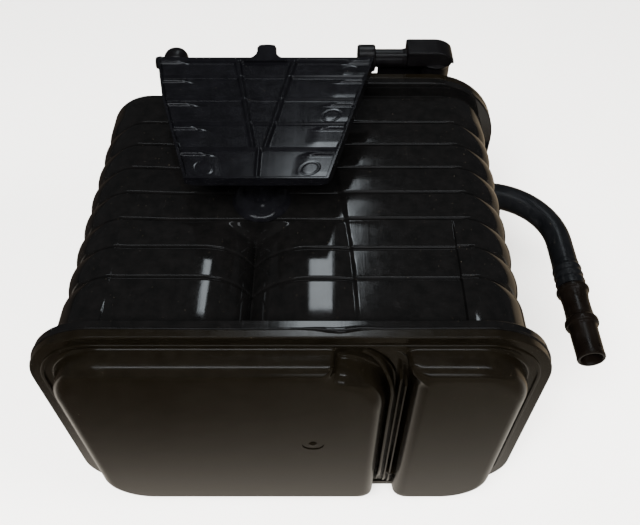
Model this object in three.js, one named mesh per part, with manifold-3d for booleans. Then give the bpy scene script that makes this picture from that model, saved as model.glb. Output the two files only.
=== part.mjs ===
// Fuel vapour canister: a ribbed nylon housing with two charcoal chambers, lying on its belly.
// Millimetres. While modelling, X runs across the housing from its middle, Y runs from the front
// cover's face to the back, and Z runs up from the housing's top face. The last lines move the
// origin to the middle of the underside of the whole object's box.
import * as THREE from 'three';
import { mergeVertices } from 'three/addons/utils/BufferGeometryUtils.js';
import Module from 'manifold-3d';

const wasm = await Module();
wasm.setup();

// ---- driving dimensions -------------------------------------------------------------------
const GAP = 0.3;                 // clearance between pieces that touch

const HALF_WIDTH = 116.6;        // housing, over its ribs
const HEIGHT = 153;
const CORNER = 28;
const BODY_FRONT = 19.3;
const BODY_END = 197;            // closed end of the housing
const BODY_BACK = 203;           // back face of its rear flange
const LIP = 7.6;                 // flanges stand this far outside the ribs
const FLANGE_THICK = 4.7;

const RIB_PITCH = 19.1;
const FIRST_GROOVE = 54.5;
const GROOVE_WIDTH = 3.4;
const GROOVE_DEPTH = 3.4;
const RIB_ROUND = 2.6;
const WALL = 3;                  // behind the grooves
const LOBE_END = FIRST_GROOVE + 2 * RIB_PITCH; // the twin-lobed stretch runs back to this groove

const PANEL_DROP = 1.8;          // sunk panel that carries the lobes
const PANEL_LEFT = -86;
const PANEL_RIGHT = 82.5;
const PANEL_STEP = 3;
const LEFT_LOBE_X = -50;
const LEFT_LOBE_RADIUS = 35.6;
const RIGHT_LOBE_X = 13.5;
const RIGHT_LOBE_RADIUS = 43.4;
const LOBE_EDGE_X = 30.5;

const PAN_HALF_WIDTH = 111.5;    // the two raised pans of the front cover
const PAN_BOTTOM = -149.5;
const PAN_CORNER = 27;
const PAN_ROUND = 4;
const COVER_FLANGE_Y = 14.3;
const COVER_WALL = 2.6;
const CHANNEL_LEFT = 45.4;
const CHANNEL_RIGHT = 56.5;
const STEP_X = 20.5;             // the wide pan's top edge steps down here
const STEP_DROP = 6;
const STEP_RADIUS = 28;
const SWEEP_RADIUS = 13.5;

const DIVIDER_X = 50.4;          // wall between the chambers, behind the cover's channel
const DIVIDER_WALL = 3;
const CHAMBER_END = 190;         // both chambers are closed here by the housing's end wall
const WINDOW = [-66, 40, -136, -24]; // opening from the wide chamber to the rear cover: X, then Z

const CURVE_STEPS = 3;           // each arc takes twice this many straight steps
const ROUND_STEPS = 1;

const SPRING_BACK = 33;
const PLATE_THICK = 3;
const PAD_THICK = 7;
const MAIN_BED_BACK = 172;
const SECOND_BED_BACK = 158;
const SPRING_RADIUS = 9;
const SPRING_WIRE = 0.9;
const SPRING_TURNS = 4.5;

const REAR_TOP_LIP = 6.2;
const REAR_RIGHT = 126;
const REAR_CORNER = 45;
const REAR_LEFT = -84;           // the rear flange and cover stop short of the left corner
const REAR_LEFT_CORNER = 14;
const REAR_PAN_BACK = 231;
const REAR_PAN_INSET = 12.5;     // the cover's pan, inside the flange's edge
const REAR_PAN_LEFT_INSET = 2;

const PLATE_TOP = 30.5;          // mounting bracket
const PLATE_FLOOR = 28;
const BRACKET_SKIN = 2.6;
const BRACKET_FRONT = 91;
const BRACKET_BACK = 190;
const BRACKET_X = -17.2;
const BRACKET_FRONT_HALF = 35;
const BRACKET_BACK_HALF = 62;
const BRACKET_RIB_Y = 114.2;
const BRACKET_RIB_PITCH = 19.85;
const PAD_WIDTH = 19;
const PAD_GAP = 4.2;             // between a pad's back edge and the rib behind it
const BOSS_Y = 107;
const BOSS_RADIUS = 8;

const PORT_Y = 219;              // rear ports stand on the rear cover's top wall
const PORT_RIM = 2;
const ELBOW_X = 81.5;
const NECK_X = 85.5;
const ELBOW_TOP = 18.5;
const ELBOW_ROUND = 8;
const ELBOW_BOTTOM = 8.5;
const NOZZLE_Z = 9.5;
const NOZZLE_RADIUS = 5.5;
const TANK_PORT_X = -75.5;
const TANK_HEAD_Z = 9;
const TANK_NOZZLE_Z = 6;
const TANK_NOZZLE_END = -88.5;
const SEAL_Z = -7;

const TUBE_RADIUS = 8.3;           // fresh-air tube on the right side
const TUBE_BORE = 6.2;
const TUBE_Y = 178;
const TUBE_Z = -70;
const TUBE_START_X = 111;
const TUBE_BEND = 42;
const TUBE_RUN_X = 165.6;
const TUBE_END_Y = 99.5;
const FITTING_TIP_Y = 50;

// ---- materials ------------------------------------------------------------------------------
const nylon = new THREE.MeshStandardMaterial({ color: 0x131316, roughness: 0.3 });
const tubing = new THREE.MeshStandardMaterial({ color: 0x1a1a1c, roughness: 0.5 });
const rubber = new THREE.MeshStandardMaterial({ color: 0x0c0c0c, roughness: 0.8 });
const charcoal = new THREE.MeshStandardMaterial({ color: 0x202022, roughness: 0.95 });
const foam = new THREE.MeshStandardMaterial({ color: 0x6a6a66, roughness: 0.95 });
const spring = new THREE.MeshStandardMaterial({ color: 0xb4b6b8, roughness: 0.3, metalness: 1 });

// ---- closed meshes --------------------------------------------------------------------------
function solid(geometry) {
  geometry.deleteAttribute('normal');
  geometry.deleteAttribute('uv');
  const merged = mergeVertices(geometry, 1e-4);
  return new wasm.Manifold(new wasm.Mesh({
    numProp: 3,
    vertProperties: new Float32Array(merged.attributes.position.array),
    triVerts: new Uint32Array(merged.index.array),
  }));
}

function mesh(name, shape, material) {
  const { vertProperties, triVerts } = shape.getMesh();
  const geometry = new THREE.BufferGeometry();
  geometry.setAttribute('position', new THREE.BufferAttribute(new Float32Array(vertProperties), 3));
  geometry.setIndex(new THREE.BufferAttribute(new Uint32Array(triVerts), 1));
  const piece = new THREE.Mesh(geometry, material);
  piece.name = name;
  return piece;
}

const join = (...shapes) => shapes.reduce((whole, shape) => whole.add(shape));

function box(x0, x1, y0, y1, z0, z1) {
  const geometry = new THREE.BoxGeometry(x1 - x0, y1 - y0, z1 - z0);
  geometry.translate((x0 + x1) / 2, (y0 + y1) / 2, (z0 + z1) / 2);
  return solid(geometry);
}

// A cylinder or cone from one point to another.
function rod(from, to, radius, endRadius = radius, sides = 20) {
  const start = new THREE.Vector3(...from);
  const run = new THREE.Vector3(...to).sub(start);
  const geometry = new THREE.CylinderGeometry(endRadius, radius, run.length(), sides);
  geometry.translate(0, run.length() / 2, 0);
  const turn = new THREE.Quaternion().setFromUnitVectors(new THREE.Vector3(0, 1, 0), run.normalize());
  geometry.applyQuaternion(turn);
  geometry.translate(start.x, start.y, start.z);
  return solid(geometry);
}

// A solid through outlines in X and Z that all have the same number of points, each at its own Y.
function loft(sections) {
  const rings = sections.map(([, outline]) => {
    const points = outline.getPoints(CURVE_STEPS);
    return points.filter((point, i) => point.distanceTo(points[(i + 1) % points.length]) > 1e-6);
  });
  const count = rings[0].length;
  const positions = rings.flatMap((ring, level) => ring.flatMap((point) => [point.x, sections[level][0], point.y]));
  const triangles = [];
  for (let level = 0; level + 1 < rings.length; level += 1) {
    for (let i = 0; i < count; i += 1) {
      const a = level * count + i;
      const b = level * count + ((i + 1) % count);
      triangles.push(a, a + count, b, b, a + count, b + count);
    }
  }
  const last = (rings.length - 1) * count;
  for (const [a, b, c] of THREE.ShapeUtils.triangulateShape(rings[0], [])) {
    triangles.push(a, b, c);
  }
  for (const [a, b, c] of THREE.ShapeUtils.triangulateShape(rings[rings.length - 1], [])) {
    triangles.push(last + a, last + c, last + b);
  }
  return new wasm.Manifold(new wasm.Mesh({
    numProp: 3,
    vertProperties: new Float32Array(positions),
    triVerts: new Uint32Array(triangles),
  }));
}

// outlineAt(inset) pushed from y0 back to y1. roundFront and roundBack round its end edges.
function slab(outlineAt, y0, y1, roundFront = 0, roundBack = 0) {
  const sections = [];
  for (let step = 0; step <= ROUND_STEPS && roundFront > 0; step += 1) {
    const angle = (step / ROUND_STEPS) * Math.PI / 2;
    sections.push([y0 + roundFront * (1 - Math.cos(angle)), outlineAt(roundFront * (1 - Math.sin(angle)))]);
  }
  if (roundFront === 0) {
    sections.push([y0, outlineAt(0)]);
  }
  for (let step = ROUND_STEPS; step >= 0 && roundBack > 0; step -= 1) {
    const angle = (step / ROUND_STEPS) * Math.PI / 2;
    sections.push([y1 - roundBack * (1 - Math.cos(angle)), outlineAt(roundBack * (1 - Math.sin(angle)))]);
  }
  if (roundBack === 0) {
    sections.push([y1, outlineAt(0)]);
  }
  return loft(sections);
}

// ---- outlines -------------------------------------------------------------------------------
function roundedOutline(left, right, bottom, top, radius) {
  const outline = new THREE.Shape();
  outline.moveTo(left + radius, bottom);
  outline.absarc(right - radius, bottom + radius, radius, -Math.PI / 2, 0);
  outline.absarc(right - radius, top - radius, radius, 0, Math.PI / 2);
  outline.absarc(left + radius, top - radius, radius, Math.PI / 2, Math.PI);
  outline.absarc(left + radius, bottom + radius, radius, Math.PI, 1.5 * Math.PI);
  return outline;
}

// The angle, about each lobe's centre, of the valley where the two lobes' circles cross.
function valleyAngles(leftLobe, rightLobe) {
  const across = RIGHT_LOBE_X - LEFT_LOBE_X;
  const down = RIGHT_LOBE_RADIUS - LEFT_LOBE_RADIUS;
  const apart = Math.hypot(across, down);
  const tilt = Math.atan2(-down, across);
  const openLeft = Math.acos((apart ** 2 + leftLobe ** 2 - rightLobe ** 2) / (2 * apart * leftLobe));
  const openRight = Math.acos((apart ** 2 + rightLobe ** 2 - leftLobe ** 2) / (2 * apart * rightLobe));
  return [tilt + openLeft, tilt + Math.PI - openRight];
}

// The housing's section, `inset` inside its ribs. The front stretch has a sunk panel on top
// that carries two long lobes with a valley between them.
function housingOutline(inset, lobed) {
  if (!lobed) {
    return roundedOutline(-HALF_WIDTH + inset, HALF_WIDTH - inset, -HEIGHT + inset, -inset, CORNER - inset);
  }
  const side = HALF_WIDTH - inset;
  const radius = CORNER - inset;
  const leftLobe = LEFT_LOBE_RADIUS - inset;
  const rightLobe = RIGHT_LOBE_RADIUS - inset;
  const [leftValley, rightValley] = valleyAngles(leftLobe, rightLobe);
  const edge = Math.acos((LOBE_EDGE_X - RIGHT_LOBE_X) / rightLobe);
  const outline = new THREE.Shape();
  outline.moveTo(-side + radius, -HEIGHT + inset);
  outline.absarc(side - radius, -HEIGHT + inset + radius, radius, -Math.PI / 2, 0);
  outline.absarc(side - radius, -inset - radius, radius, 0, Math.PI / 2);
  outline.lineTo(PANEL_RIGHT + PANEL_STEP / 2, -inset);
  outline.lineTo(PANEL_RIGHT - PANEL_STEP / 2, -inset - PANEL_DROP);
  outline.lineTo(LOBE_EDGE_X, -inset - PANEL_DROP);
  outline.absarc(RIGHT_LOBE_X, -PANEL_DROP - RIGHT_LOBE_RADIUS, rightLobe, edge, rightValley);
  outline.absarc(LEFT_LOBE_X, -PANEL_DROP - LEFT_LOBE_RADIUS, leftLobe, leftValley, Math.PI / 2);
  outline.lineTo(PANEL_LEFT + PANEL_STEP / 2, -inset - PANEL_DROP);
  outline.lineTo(PANEL_LEFT - PANEL_STEP / 2, -inset);
  outline.absarc(-side + radius, -inset - radius, radius, Math.PI / 2, Math.PI);
  outline.absarc(-side + radius, -HEIGHT + inset + radius, radius, Math.PI, 1.5 * Math.PI);
  return outline;
}

// The rear flange and cover stand proud of the housing at the top, right and bottom.
function rearOutline(inset, leftInset = inset) {
  const left = REAR_LEFT + leftInset;
  const right = REAR_RIGHT - inset;
  const top = REAR_TOP_LIP - inset;
  const bottom = -HEIGHT - LIP + inset;
  const small = REAR_LEFT_CORNER - leftInset;
  const large = REAR_CORNER - inset;
  const outline = new THREE.Shape();
  outline.moveTo(left + small, bottom);
  outline.absarc(right - large, bottom + large, large, -Math.PI / 2, 0);
  outline.absarc(right - large, top - large, large, 0, Math.PI / 2);
  outline.absarc(left + small, top - small, small, Math.PI / 2, Math.PI);
  outline.absarc(left + small, bottom + small, small, Math.PI, 1.5 * Math.PI);
  return outline;
}

// ---- chambers -------------------------------------------------------------------------------
const SKIN = GROOVE_DEPTH + WALL;
const MAIN_RIGHT = DIVIDER_X - DIVIDER_WALL / 2;
const SECOND_LEFT = DIVIDER_X + DIVIDER_WALL / 2;

// Fills one chamber from y0 to y1, `clear` away from its walls.
function chamberFill(second, y0, y1, clear = 0) {
  const slices = [];
  const flatStart = LOBE_END + WALL + clear;
  if (y0 < flatStart) {
    slices.push(slab(() => housingOutline(SKIN + clear, true), y0, Math.min(y1, flatStart)));
  }
  if (y1 > flatStart) {
    slices.push(slab(() => housingOutline(SKIN + clear, false), Math.max(y0, flatStart), y1));
  }
  const limits = second
    ? box(SECOND_LEFT + clear, HALF_WIDTH, y0 - 1, y1 + 1, -HEIGHT, 0)
    : box(-HALF_WIDTH, MAIN_RIGHT - clear, y0 - 1, y1 + 1, -HEIGHT, 0);
  return join(...slices).intersect(limits);
}

// Round holes through a plate in the chamber, in rows and columns.
function perforate(plate, second, y0, y1, pitch, radius) {
  const [left, right] = second ? [SECOND_LEFT, HALF_WIDTH - SKIN] : [-HALF_WIDTH + SKIN, MAIN_RIGHT];
  const columns = Math.floor((right - left - 14) / pitch);
  const rows = Math.floor((HEIGHT - 2 * SKIN - 40) / pitch);
  const middleX = (left + right) / 2;
  const middleZ = -HEIGHT / 2 - 10;
  let result = plate;
  for (let column = 0; column <= columns; column += 1) {
    for (let row = 0; row <= rows; row += 1) {
      const x = middleX + (column - columns / 2) * pitch;
      const z = middleZ + (row - rows / 2) * pitch;
      result = result.subtract(rod([x, y0 - 1, z], [x, y1 + 1, z], radius, radius, 6));
    }
  }
  return result;
}

// ---- housing --------------------------------------------------------------------------------
function ribs() {
  const edges = [BODY_FRONT + FLANGE_THICK - 3];
  for (let groove = FIRST_GROOVE; groove < BODY_END - RIB_PITCH; groove += RIB_PITCH) {
    edges.push(groove);
  }
  edges.push(BODY_END + GROOVE_WIDTH / 2);
  const bays = [];
  for (let bay = 0; bay + 1 < edges.length; bay += 1) {
    const lobed = edges[bay + 1] < LOBE_END + 1;
    const y0 = edges[bay] + GROOVE_WIDTH / 2;
    const y1 = edges[bay + 1] - GROOVE_WIDTH / 2;
    bays.push(slab((inset) => housingOutline(inset, lobed), y0, y1, RIB_ROUND, RIB_ROUND));
  }
  return join(...bays);
}

function canisterBody() {
  const lobedCore = slab(() => housingOutline(GROOVE_DEPTH, true), BODY_FRONT, LOBE_END + 1);
  const flatCore = slab(() => housingOutline(GROOVE_DEPTH, false), LOBE_END, BODY_END - 1);
  const frontFlange = slab(() => housingOutline(-LIP, false), BODY_FRONT, BODY_FRONT + FLANGE_THICK);
  const rearFlange = slab(rearOutline, BODY_BACK - FLANGE_THICK, BODY_BACK);
  const rearNeck = slab(() => rearOutline(REAR_PAN_INSET, REAR_PAN_LEFT_INSET), CHAMBER_END, BODY_BACK - 1);
  const tubeSocket = rod([HALF_WIDTH - 10, TUBE_Y, TUBE_Z], [HALF_WIDTH + 1, TUBE_Y, TUBE_Z], 14);
  const outside = join(lobedCore, flatCore, ribs(), frontFlange, rearFlange, rearNeck, tubeSocket);
  const tubeHole = rod([80, TUBE_Y, TUBE_Z], [HALF_WIDTH + 2, TUBE_Y, TUBE_Z], TUBE_RADIUS + GAP);
  const wideChamber = chamberFill(false, BODY_FRONT - 1, CHAMBER_END);
  const narrowChamber = chamberFill(true, BODY_FRONT - 1, CHAMBER_END);
  const window = box(WINDOW[0], WINDOW[1], CHAMBER_END - 1, BODY_BACK + 1, WINDOW[2], WINDOW[3]);
  return outside.subtract(wideChamber).subtract(narrowChamber).subtract(window).subtract(tubeHole);
}

// ---- covers ---------------------------------------------------------------------------------
// The wide pan steps down near its right end, then turns the corner in one long arc.
function widePanOutline(inset) {
  const left = -PAN_HALF_WIDTH + inset;
  const right = CHANNEL_LEFT - inset;
  const radius = PAN_CORNER - inset;
  const turn = STEP_RADIUS - inset;
  const outline = new THREE.Shape();
  outline.moveTo(left + radius, PAN_BOTTOM + inset);
  outline.lineTo(right - 3, PAN_BOTTOM + inset);
  outline.lineTo(right, PAN_BOTTOM + inset + 3);
  const turnZ = -STEP_DROP - STEP_RADIUS;
  const turnX = CHANNEL_LEFT - STEP_RADIUS;
  outline.absarc(turnX, turnZ, turn, 0, Math.acos((STEP_X + 1.5 - turnX) / STEP_RADIUS));
  outline.lineTo(STEP_X - inset, -inset);
  outline.absarc(left + radius, -inset - radius, radius, Math.PI / 2, Math.PI);
  outline.absarc(left + radius, PAN_BOTTOM + inset + radius, radius, Math.PI, 1.5 * Math.PI);
  return outline;
}

// The narrow pan's top left corner reaches over the channel and sweeps back to its straight side.
function narrowPanOutline(inset) {
  const left = CHANNEL_RIGHT + inset;
  const right = PAN_HALF_WIDTH - inset;
  const radius = PAN_CORNER - inset;
  const sweep = SWEEP_RADIUS + inset;
  const sweepZ = -SWEEP_RADIUS;
  const tip = Math.asin((SWEEP_RADIUS - 3 - inset) / sweep);
  const outline = new THREE.Shape();
  outline.moveTo(left + 3, PAN_BOTTOM + inset);
  outline.lineTo(right - radius, PAN_BOTTOM + inset);
  outline.absarc(right - radius, PAN_BOTTOM + inset + radius, radius, -Math.PI / 2, 0);
  outline.absarc(right - radius, -inset - radius, radius, 0, Math.PI / 2);
  outline.lineTo(left - SWEEP_RADIUS + sweep * Math.cos(tip) - inset + 3, -inset);
  outline.absarc(CHANNEL_RIGHT - SWEEP_RADIUS, sweepZ, sweep, tip, 0, true);
  outline.lineTo(left, PAN_BOTTOM + inset + 3);
  return outline;
}

function frontCover() {
  const back = COVER_FLANGE_Y + FLANGE_THICK;
  const flange = slab(() => housingOutline(-LIP, false), COVER_FLANGE_Y, back);
  const widePan = slab(widePanOutline, 0, back, PAN_ROUND);
  const narrowPan = slab(narrowPanOutline, 0, back, PAN_ROUND);
  let cover = join(flange, widePan, narrowPan);
  for (const x of [CHANNEL_LEFT + 3, CHANNEL_LEFT + 6, CHANNEL_RIGHT - 3.2]) {
    cover = cover.add(box(x - 0.7, x + 0.7, COVER_FLANGE_Y - 7, COVER_FLANGE_Y + 1, -148, -26));
  }
  const wideHollow = slab(() => widePanOutline(COVER_WALL), COVER_WALL, back + 1);
  const narrowHollow = slab(() => narrowPanOutline(COVER_WALL), COVER_WALL, back + 1);
  return cover.subtract(wideHollow).subtract(narrowHollow);
}

function rearCover() {
  const front = BODY_BACK + GAP;
  const flange = slab(rearOutline, front, front + FLANGE_THICK);
  const panAt = (inset) => rearOutline(REAR_PAN_INSET + inset, REAR_PAN_LEFT_INSET + inset);
  const pan = slab(panAt, front + 1, REAR_PAN_BACK, 0, PAN_ROUND - 0.5);
  const hollow = slab(() => panAt(COVER_WALL + 1), front - 1, REAR_PAN_BACK - COVER_WALL);
  const top = REAR_TOP_LIP - REAR_PAN_INSET;
  let cover = join(flange, pan).subtract(hollow);
  for (const [x, radius] of [[NECK_X, 6.5], [TANK_PORT_X, 4.6]]) {
    cover = cover.add(rod([x, PORT_Y, top - 4], [x, PORT_Y, top + PORT_RIM], radius + 1.8));
    cover = cover.subtract(rod([x, PORT_Y, top - 20], [x, PORT_Y, top + 5], radius));
  }
  return cover;
}

// ---- mounting bracket -----------------------------------------------------------------------
function bracketHalfWidth(y) {
  const along = (y - BRACKET_FRONT) / (BRACKET_BACK - BRACKET_FRONT);
  return BRACKET_FRONT_HALF + along * (BRACKET_BACK_HALF - BRACKET_FRONT_HALF);
}

function plan(points, z0, z1) {
  const outline = new THREE.Shape(points.map(([x, y]) => new THREE.Vector2(x, y)));
  const geometry = new THREE.ExtrudeGeometry(outline, { depth: z1 - z0, bevelEnabled: false });
  geometry.translate(0, 0, z0);
  return solid(geometry);
}

function bar(x0, y0, x1, y1, width, z0, z1) {
  const along = new THREE.Vector2(x1 - x0, y1 - y0).normalize().multiplyScalar(width / 2);
  const corners = [
    [x0 + along.y, y0 - along.x],
    [x1 + along.y, y1 - along.x],
    [x1 - along.y, y1 + along.x],
    [x0 - along.y, y0 + along.x],
  ];
  return plan(corners, z0, z1);
}

// The plate's outline, `inset` inside its edges.
function bracketPlan(inset, front, back) {
  const half = (y) => bracketHalfWidth(y) - inset;
  return [
    [BRACKET_X - half(front), front],
    [BRACKET_X + half(front), front],
    [BRACKET_X + half(back), back],
    [BRACKET_X - half(back), back],
  ];
}

// A flat tray, wider at the back, with ribs across it and stepped pads along its sides. It
// stands on a boss at the front and on two feet at the back.
function mountingBracket() {
  const x = BRACKET_X;
  const rim = 2.2;
  const under = PLATE_FLOOR - BRACKET_SKIN;
  const tray = plan(bracketPlan(0, BRACKET_FRONT, BRACKET_BACK), PLATE_FLOOR - 6, PLATE_TOP);
  const pocket = plan(bracketPlan(rim, BRACKET_FRONT - 1, BRACKET_BACK + 1), PLATE_FLOOR, PLATE_TOP + 1);
  const hollow = plan(bracketPlan(rim, BRACKET_FRONT - 1, BRACKET_BACK + 1), PLATE_FLOOR - 7, under);
  const parts = [tray.subtract(pocket).subtract(hollow)];
  const inside = PLATE_FLOOR - 1;
  const ribYs = [0, 1, 2, 3].map((k) => BRACKET_RIB_Y + k * BRACKET_RIB_PITCH);
  const bays = [BRACKET_FRONT + 1.2, ...ribYs];
  bays.forEach((y, bay) => {
    const half = bracketHalfWidth(y) - rim / 2;
    const padBack = (bays[bay + 1] ?? BRACKET_BACK + 1.2) - PAD_GAP;
    parts.push(box(x - half, x + half, y - 0.9, y + 0.9, inside, PLATE_TOP - 0.4));
    for (const side of [-1, 1]) {
      const edge = x + side * (bracketHalfWidth(y) - rim / 2);
      const end = edge - side * PAD_WIDTH;
      parts.push(box(Math.min(edge, end), Math.max(edge, end), y + 0.5, padBack, inside, PLATE_TOP - 0.9));
    }
  });
  for (const side of [-1, 1]) {
    parts.push(bar(x + side * 16.6, BRACKET_BACK - 1, x + side * 3, BRACKET_RIB_Y, 1.8, inside, PLATE_TOP - 1.2));
    const foot = x + side * 24;
    parts.push(box(foot - 9, foot + 9, 172, 180, GAP, inside));
  }
  parts.push(box(x - 0.9, x + 0.9, BRACKET_FRONT + 1, BRACKET_RIB_Y, inside, PLATE_TOP - 0.8));
  parts.push(box(x - 5.5, x + 5.5, BRACKET_BACK - 2, 203.5, under + 0.5, PLATE_TOP - 0.6));
  const lip = BRACKET_FRONT_HALF - 2;
  parts.push(plan([[x - lip, 90.8], [x + lip, 90.8], [x + 9, 102], [x - 9, 102]], PLATE_FLOOR - 8, inside));
  parts.push(rod([x, BOSS_Y, GAP], [x, BOSS_Y, 6], BOSS_RADIUS + 5, BOSS_RADIUS - 0.4));
  parts.push(rod([x, BOSS_Y, 5], [x, BOSS_Y, inside], BOSS_RADIUS));
  return join(...parts);
}

// ---- springs --------------------------------------------------------------------------------
class Helix extends THREE.Curve {
  constructor(x, z, y0, y1) {
    super();
    Object.assign(this, { x, z, y0, y1 });
  }

  getPoint(t, target = new THREE.Vector3()) {
    const angle = t * SPRING_TURNS * 2 * Math.PI;
    return target.set(
      this.x + SPRING_RADIUS * Math.cos(angle),
      this.y0 + t * (this.y1 - this.y0),
      this.z + SPRING_RADIUS * Math.sin(angle),
    );
  }
}

function compressionSpring(x, z) {
  const wire = new THREE.Shape().absarc(0, 0, SPRING_WIRE, 0, 2 * Math.PI);
  const y0 = COVER_WALL + GAP + SPRING_WIRE;
  return solid(new THREE.ExtrudeGeometry(wire, {
    steps: SPRING_TURNS * 8,
    curveSegments: 2,
    extrudePath: new Helix(x, z, y0, SPRING_BACK - SPRING_WIRE),
  }));
}

// ---- ports and the fresh-air tube -----------------------------------------------------------
// A blocky elbow: up from the rear cover, then across to a thin nozzle that points left.
function purgeElbow() {
  const left = ELBOW_X - 14.5;
  const right = ELBOW_X + 14.5;
  const outlineAt = (inset) => {
    const outline = new THREE.Shape();
    outline.moveTo(left + inset, ELBOW_BOTTOM + inset);
    outline.lineTo(right - inset, ELBOW_BOTTOM + inset);
    outline.absarc(right - ELBOW_ROUND, ELBOW_TOP - ELBOW_ROUND, ELBOW_ROUND - inset, 0, Math.PI / 2);
    outline.lineTo(left + inset, ELBOW_TOP - inset);
    return outline;
  };
  const seat = REAR_TOP_LIP - REAR_PAN_INSET + PORT_RIM + GAP;
  const block = slab(outlineAt, PORT_Y - 8, PORT_Y + 8, 1.2, 1.2);
  const neck = rod([NECK_X, PORT_Y, seat], [NECK_X, PORT_Y, ELBOW_BOTTOM + 1], 9.4);
  const stem = rod([NECK_X, PORT_Y, seat - 12], [NECK_X, PORT_Y, seat + 1], 5);
  const nozzle = rod([38, PORT_Y, NOZZLE_Z], [NECK_X, PORT_Y, NOZZLE_Z], NOZZLE_RADIUS);
  const web = bar(50, PORT_Y, NECK_X, PORT_Y, 2.6, seat, NOZZLE_Z);
  const across = rod([37, PORT_Y, NOZZLE_Z], [NECK_X, PORT_Y, NOZZLE_Z], 3.4, 3.4, 12);
  const down = rod([NECK_X, PORT_Y, seat - 13], [NECK_X, PORT_Y, NOZZLE_Z + 2], 3.2, 3.2, 12);
  return join(block, neck, stem, nozzle, web).subtract(across).subtract(down);
}

function ring(center, axis, inner, outer, length) {
  const start = new THREE.Vector3(...center);
  const end = start.clone().addScaledVector(new THREE.Vector3(...axis), length);
  const before = start.clone().addScaledVector(new THREE.Vector3(...axis), -1);
  const after = end.clone().addScaledVector(new THREE.Vector3(...axis), 1);
  return rod(start.toArray(), end.toArray(), outer).subtract(rod(before.toArray(), after.toArray(), inner));
}

// The tank port: a short stem with a round head and a nozzle that points left.
function tankElbow() {
  const x = TANK_PORT_X;
  const seat = REAR_TOP_LIP - REAR_PAN_INSET + PORT_RIM + GAP;
  const head = new THREE.SphereGeometry(7.6, 16, 10);
  head.translate(x, PORT_Y, TANK_HEAD_Z);
  const neck = rod([x, PORT_Y, seat], [x, PORT_Y, TANK_HEAD_Z], 7.4);
  const stem = rod([x, PORT_Y, seat - 12], [x, PORT_Y, seat + 1], 3.2);
  const nozzle = rod([x, PORT_Y, TANK_NOZZLE_Z], [TANK_NOZZLE_END, PORT_Y, TANK_NOZZLE_Z], 4);
  const up = rod([x, PORT_Y, seat - 13], [x, PORT_Y, TANK_NOZZLE_Z + 1], 2, 2, 12);
  const across = rod([x, PORT_Y, TANK_NOZZLE_Z], [TANK_NOZZLE_END - 1, PORT_Y, TANK_NOZZLE_Z], 2.6, 2.6, 12);
  return join(solid(head), neck, stem, nozzle).subtract(up).subtract(across);
}

function freshAirTube() {
  const path = new THREE.CurvePath();
  const corner = new THREE.Vector3(TUBE_RUN_X, TUBE_Y, TUBE_Z);
  const bendStart = new THREE.Vector3(TUBE_RUN_X - TUBE_BEND, TUBE_Y, TUBE_Z);
  const bendEnd = new THREE.Vector3(TUBE_RUN_X, TUBE_Y - TUBE_BEND, TUBE_Z);
  const toward = 0.5523 * TUBE_BEND;
  const control = (point, to) => point.clone().lerp(to, toward / TUBE_BEND);
  path.add(new THREE.LineCurve3(new THREE.Vector3(TUBE_START_X, TUBE_Y, TUBE_Z), bendStart));
  path.add(new THREE.CubicBezierCurve3(bendStart, control(bendStart, corner), control(bendEnd, corner), bendEnd));
  path.add(new THREE.LineCurve3(bendEnd, new THREE.Vector3(TUBE_RUN_X, TUBE_END_Y, TUBE_Z)));
  const section = new THREE.Shape().absarc(0, 0, TUBE_RADIUS, 0, 2 * Math.PI);
  section.holes.push(new THREE.Path().absarc(0, 0, TUBE_BORE, 0, 2 * Math.PI));
  return solid(new THREE.ExtrudeGeometry(section, { steps: 14, curveSegments: 6, extrudePath: path }));
}

// The rigid end of the tube: a barbed tail pushed into the tube, a shoulder, two beads and a
// plain open tip, turned about one axis.
function quickConnectEnd() {
  const tail = 14;
  const start = TUBE_END_Y - GAP;
  const length = start - FITTING_TIP_Y;
  const bore = 4.4;
  const profile = [
    [bore, -tail], [5.2, -tail], [5.8, -tail + 3], [5.8, 0], [9.6, 0], [9.6, 3.4], [8.2, 5], [7.8, 12],
    [7.9, 22], [9.6, 24.2], [9.6, 27.2], [8, 28.6], [7.95, length - 1],
    [7.4, length], [bore + 1.6, length], [bore, length - 8],
  ];
  const points = profile.map(([radius, along]) => new THREE.Vector2(radius, along));
  points.push(points[0].clone());
  const geometry = new THREE.LatheGeometry(points, 24);
  geometry.rotateX(Math.PI);
  geometry.translate(TUBE_RUN_X, start, TUBE_Z);
  return solid(geometry);
}

// ---- assembly -------------------------------------------------------------------------------
const canister = new THREE.Group();
canister.add(mesh('canister_body', canisterBody(), nylon));
canister.add(mesh('front_cover', frontCover(), nylon));
canister.add(mesh('rear_cover', rearCover(), nylon));
canister.add(mesh('mounting_bracket', mountingBracket(), nylon));

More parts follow.
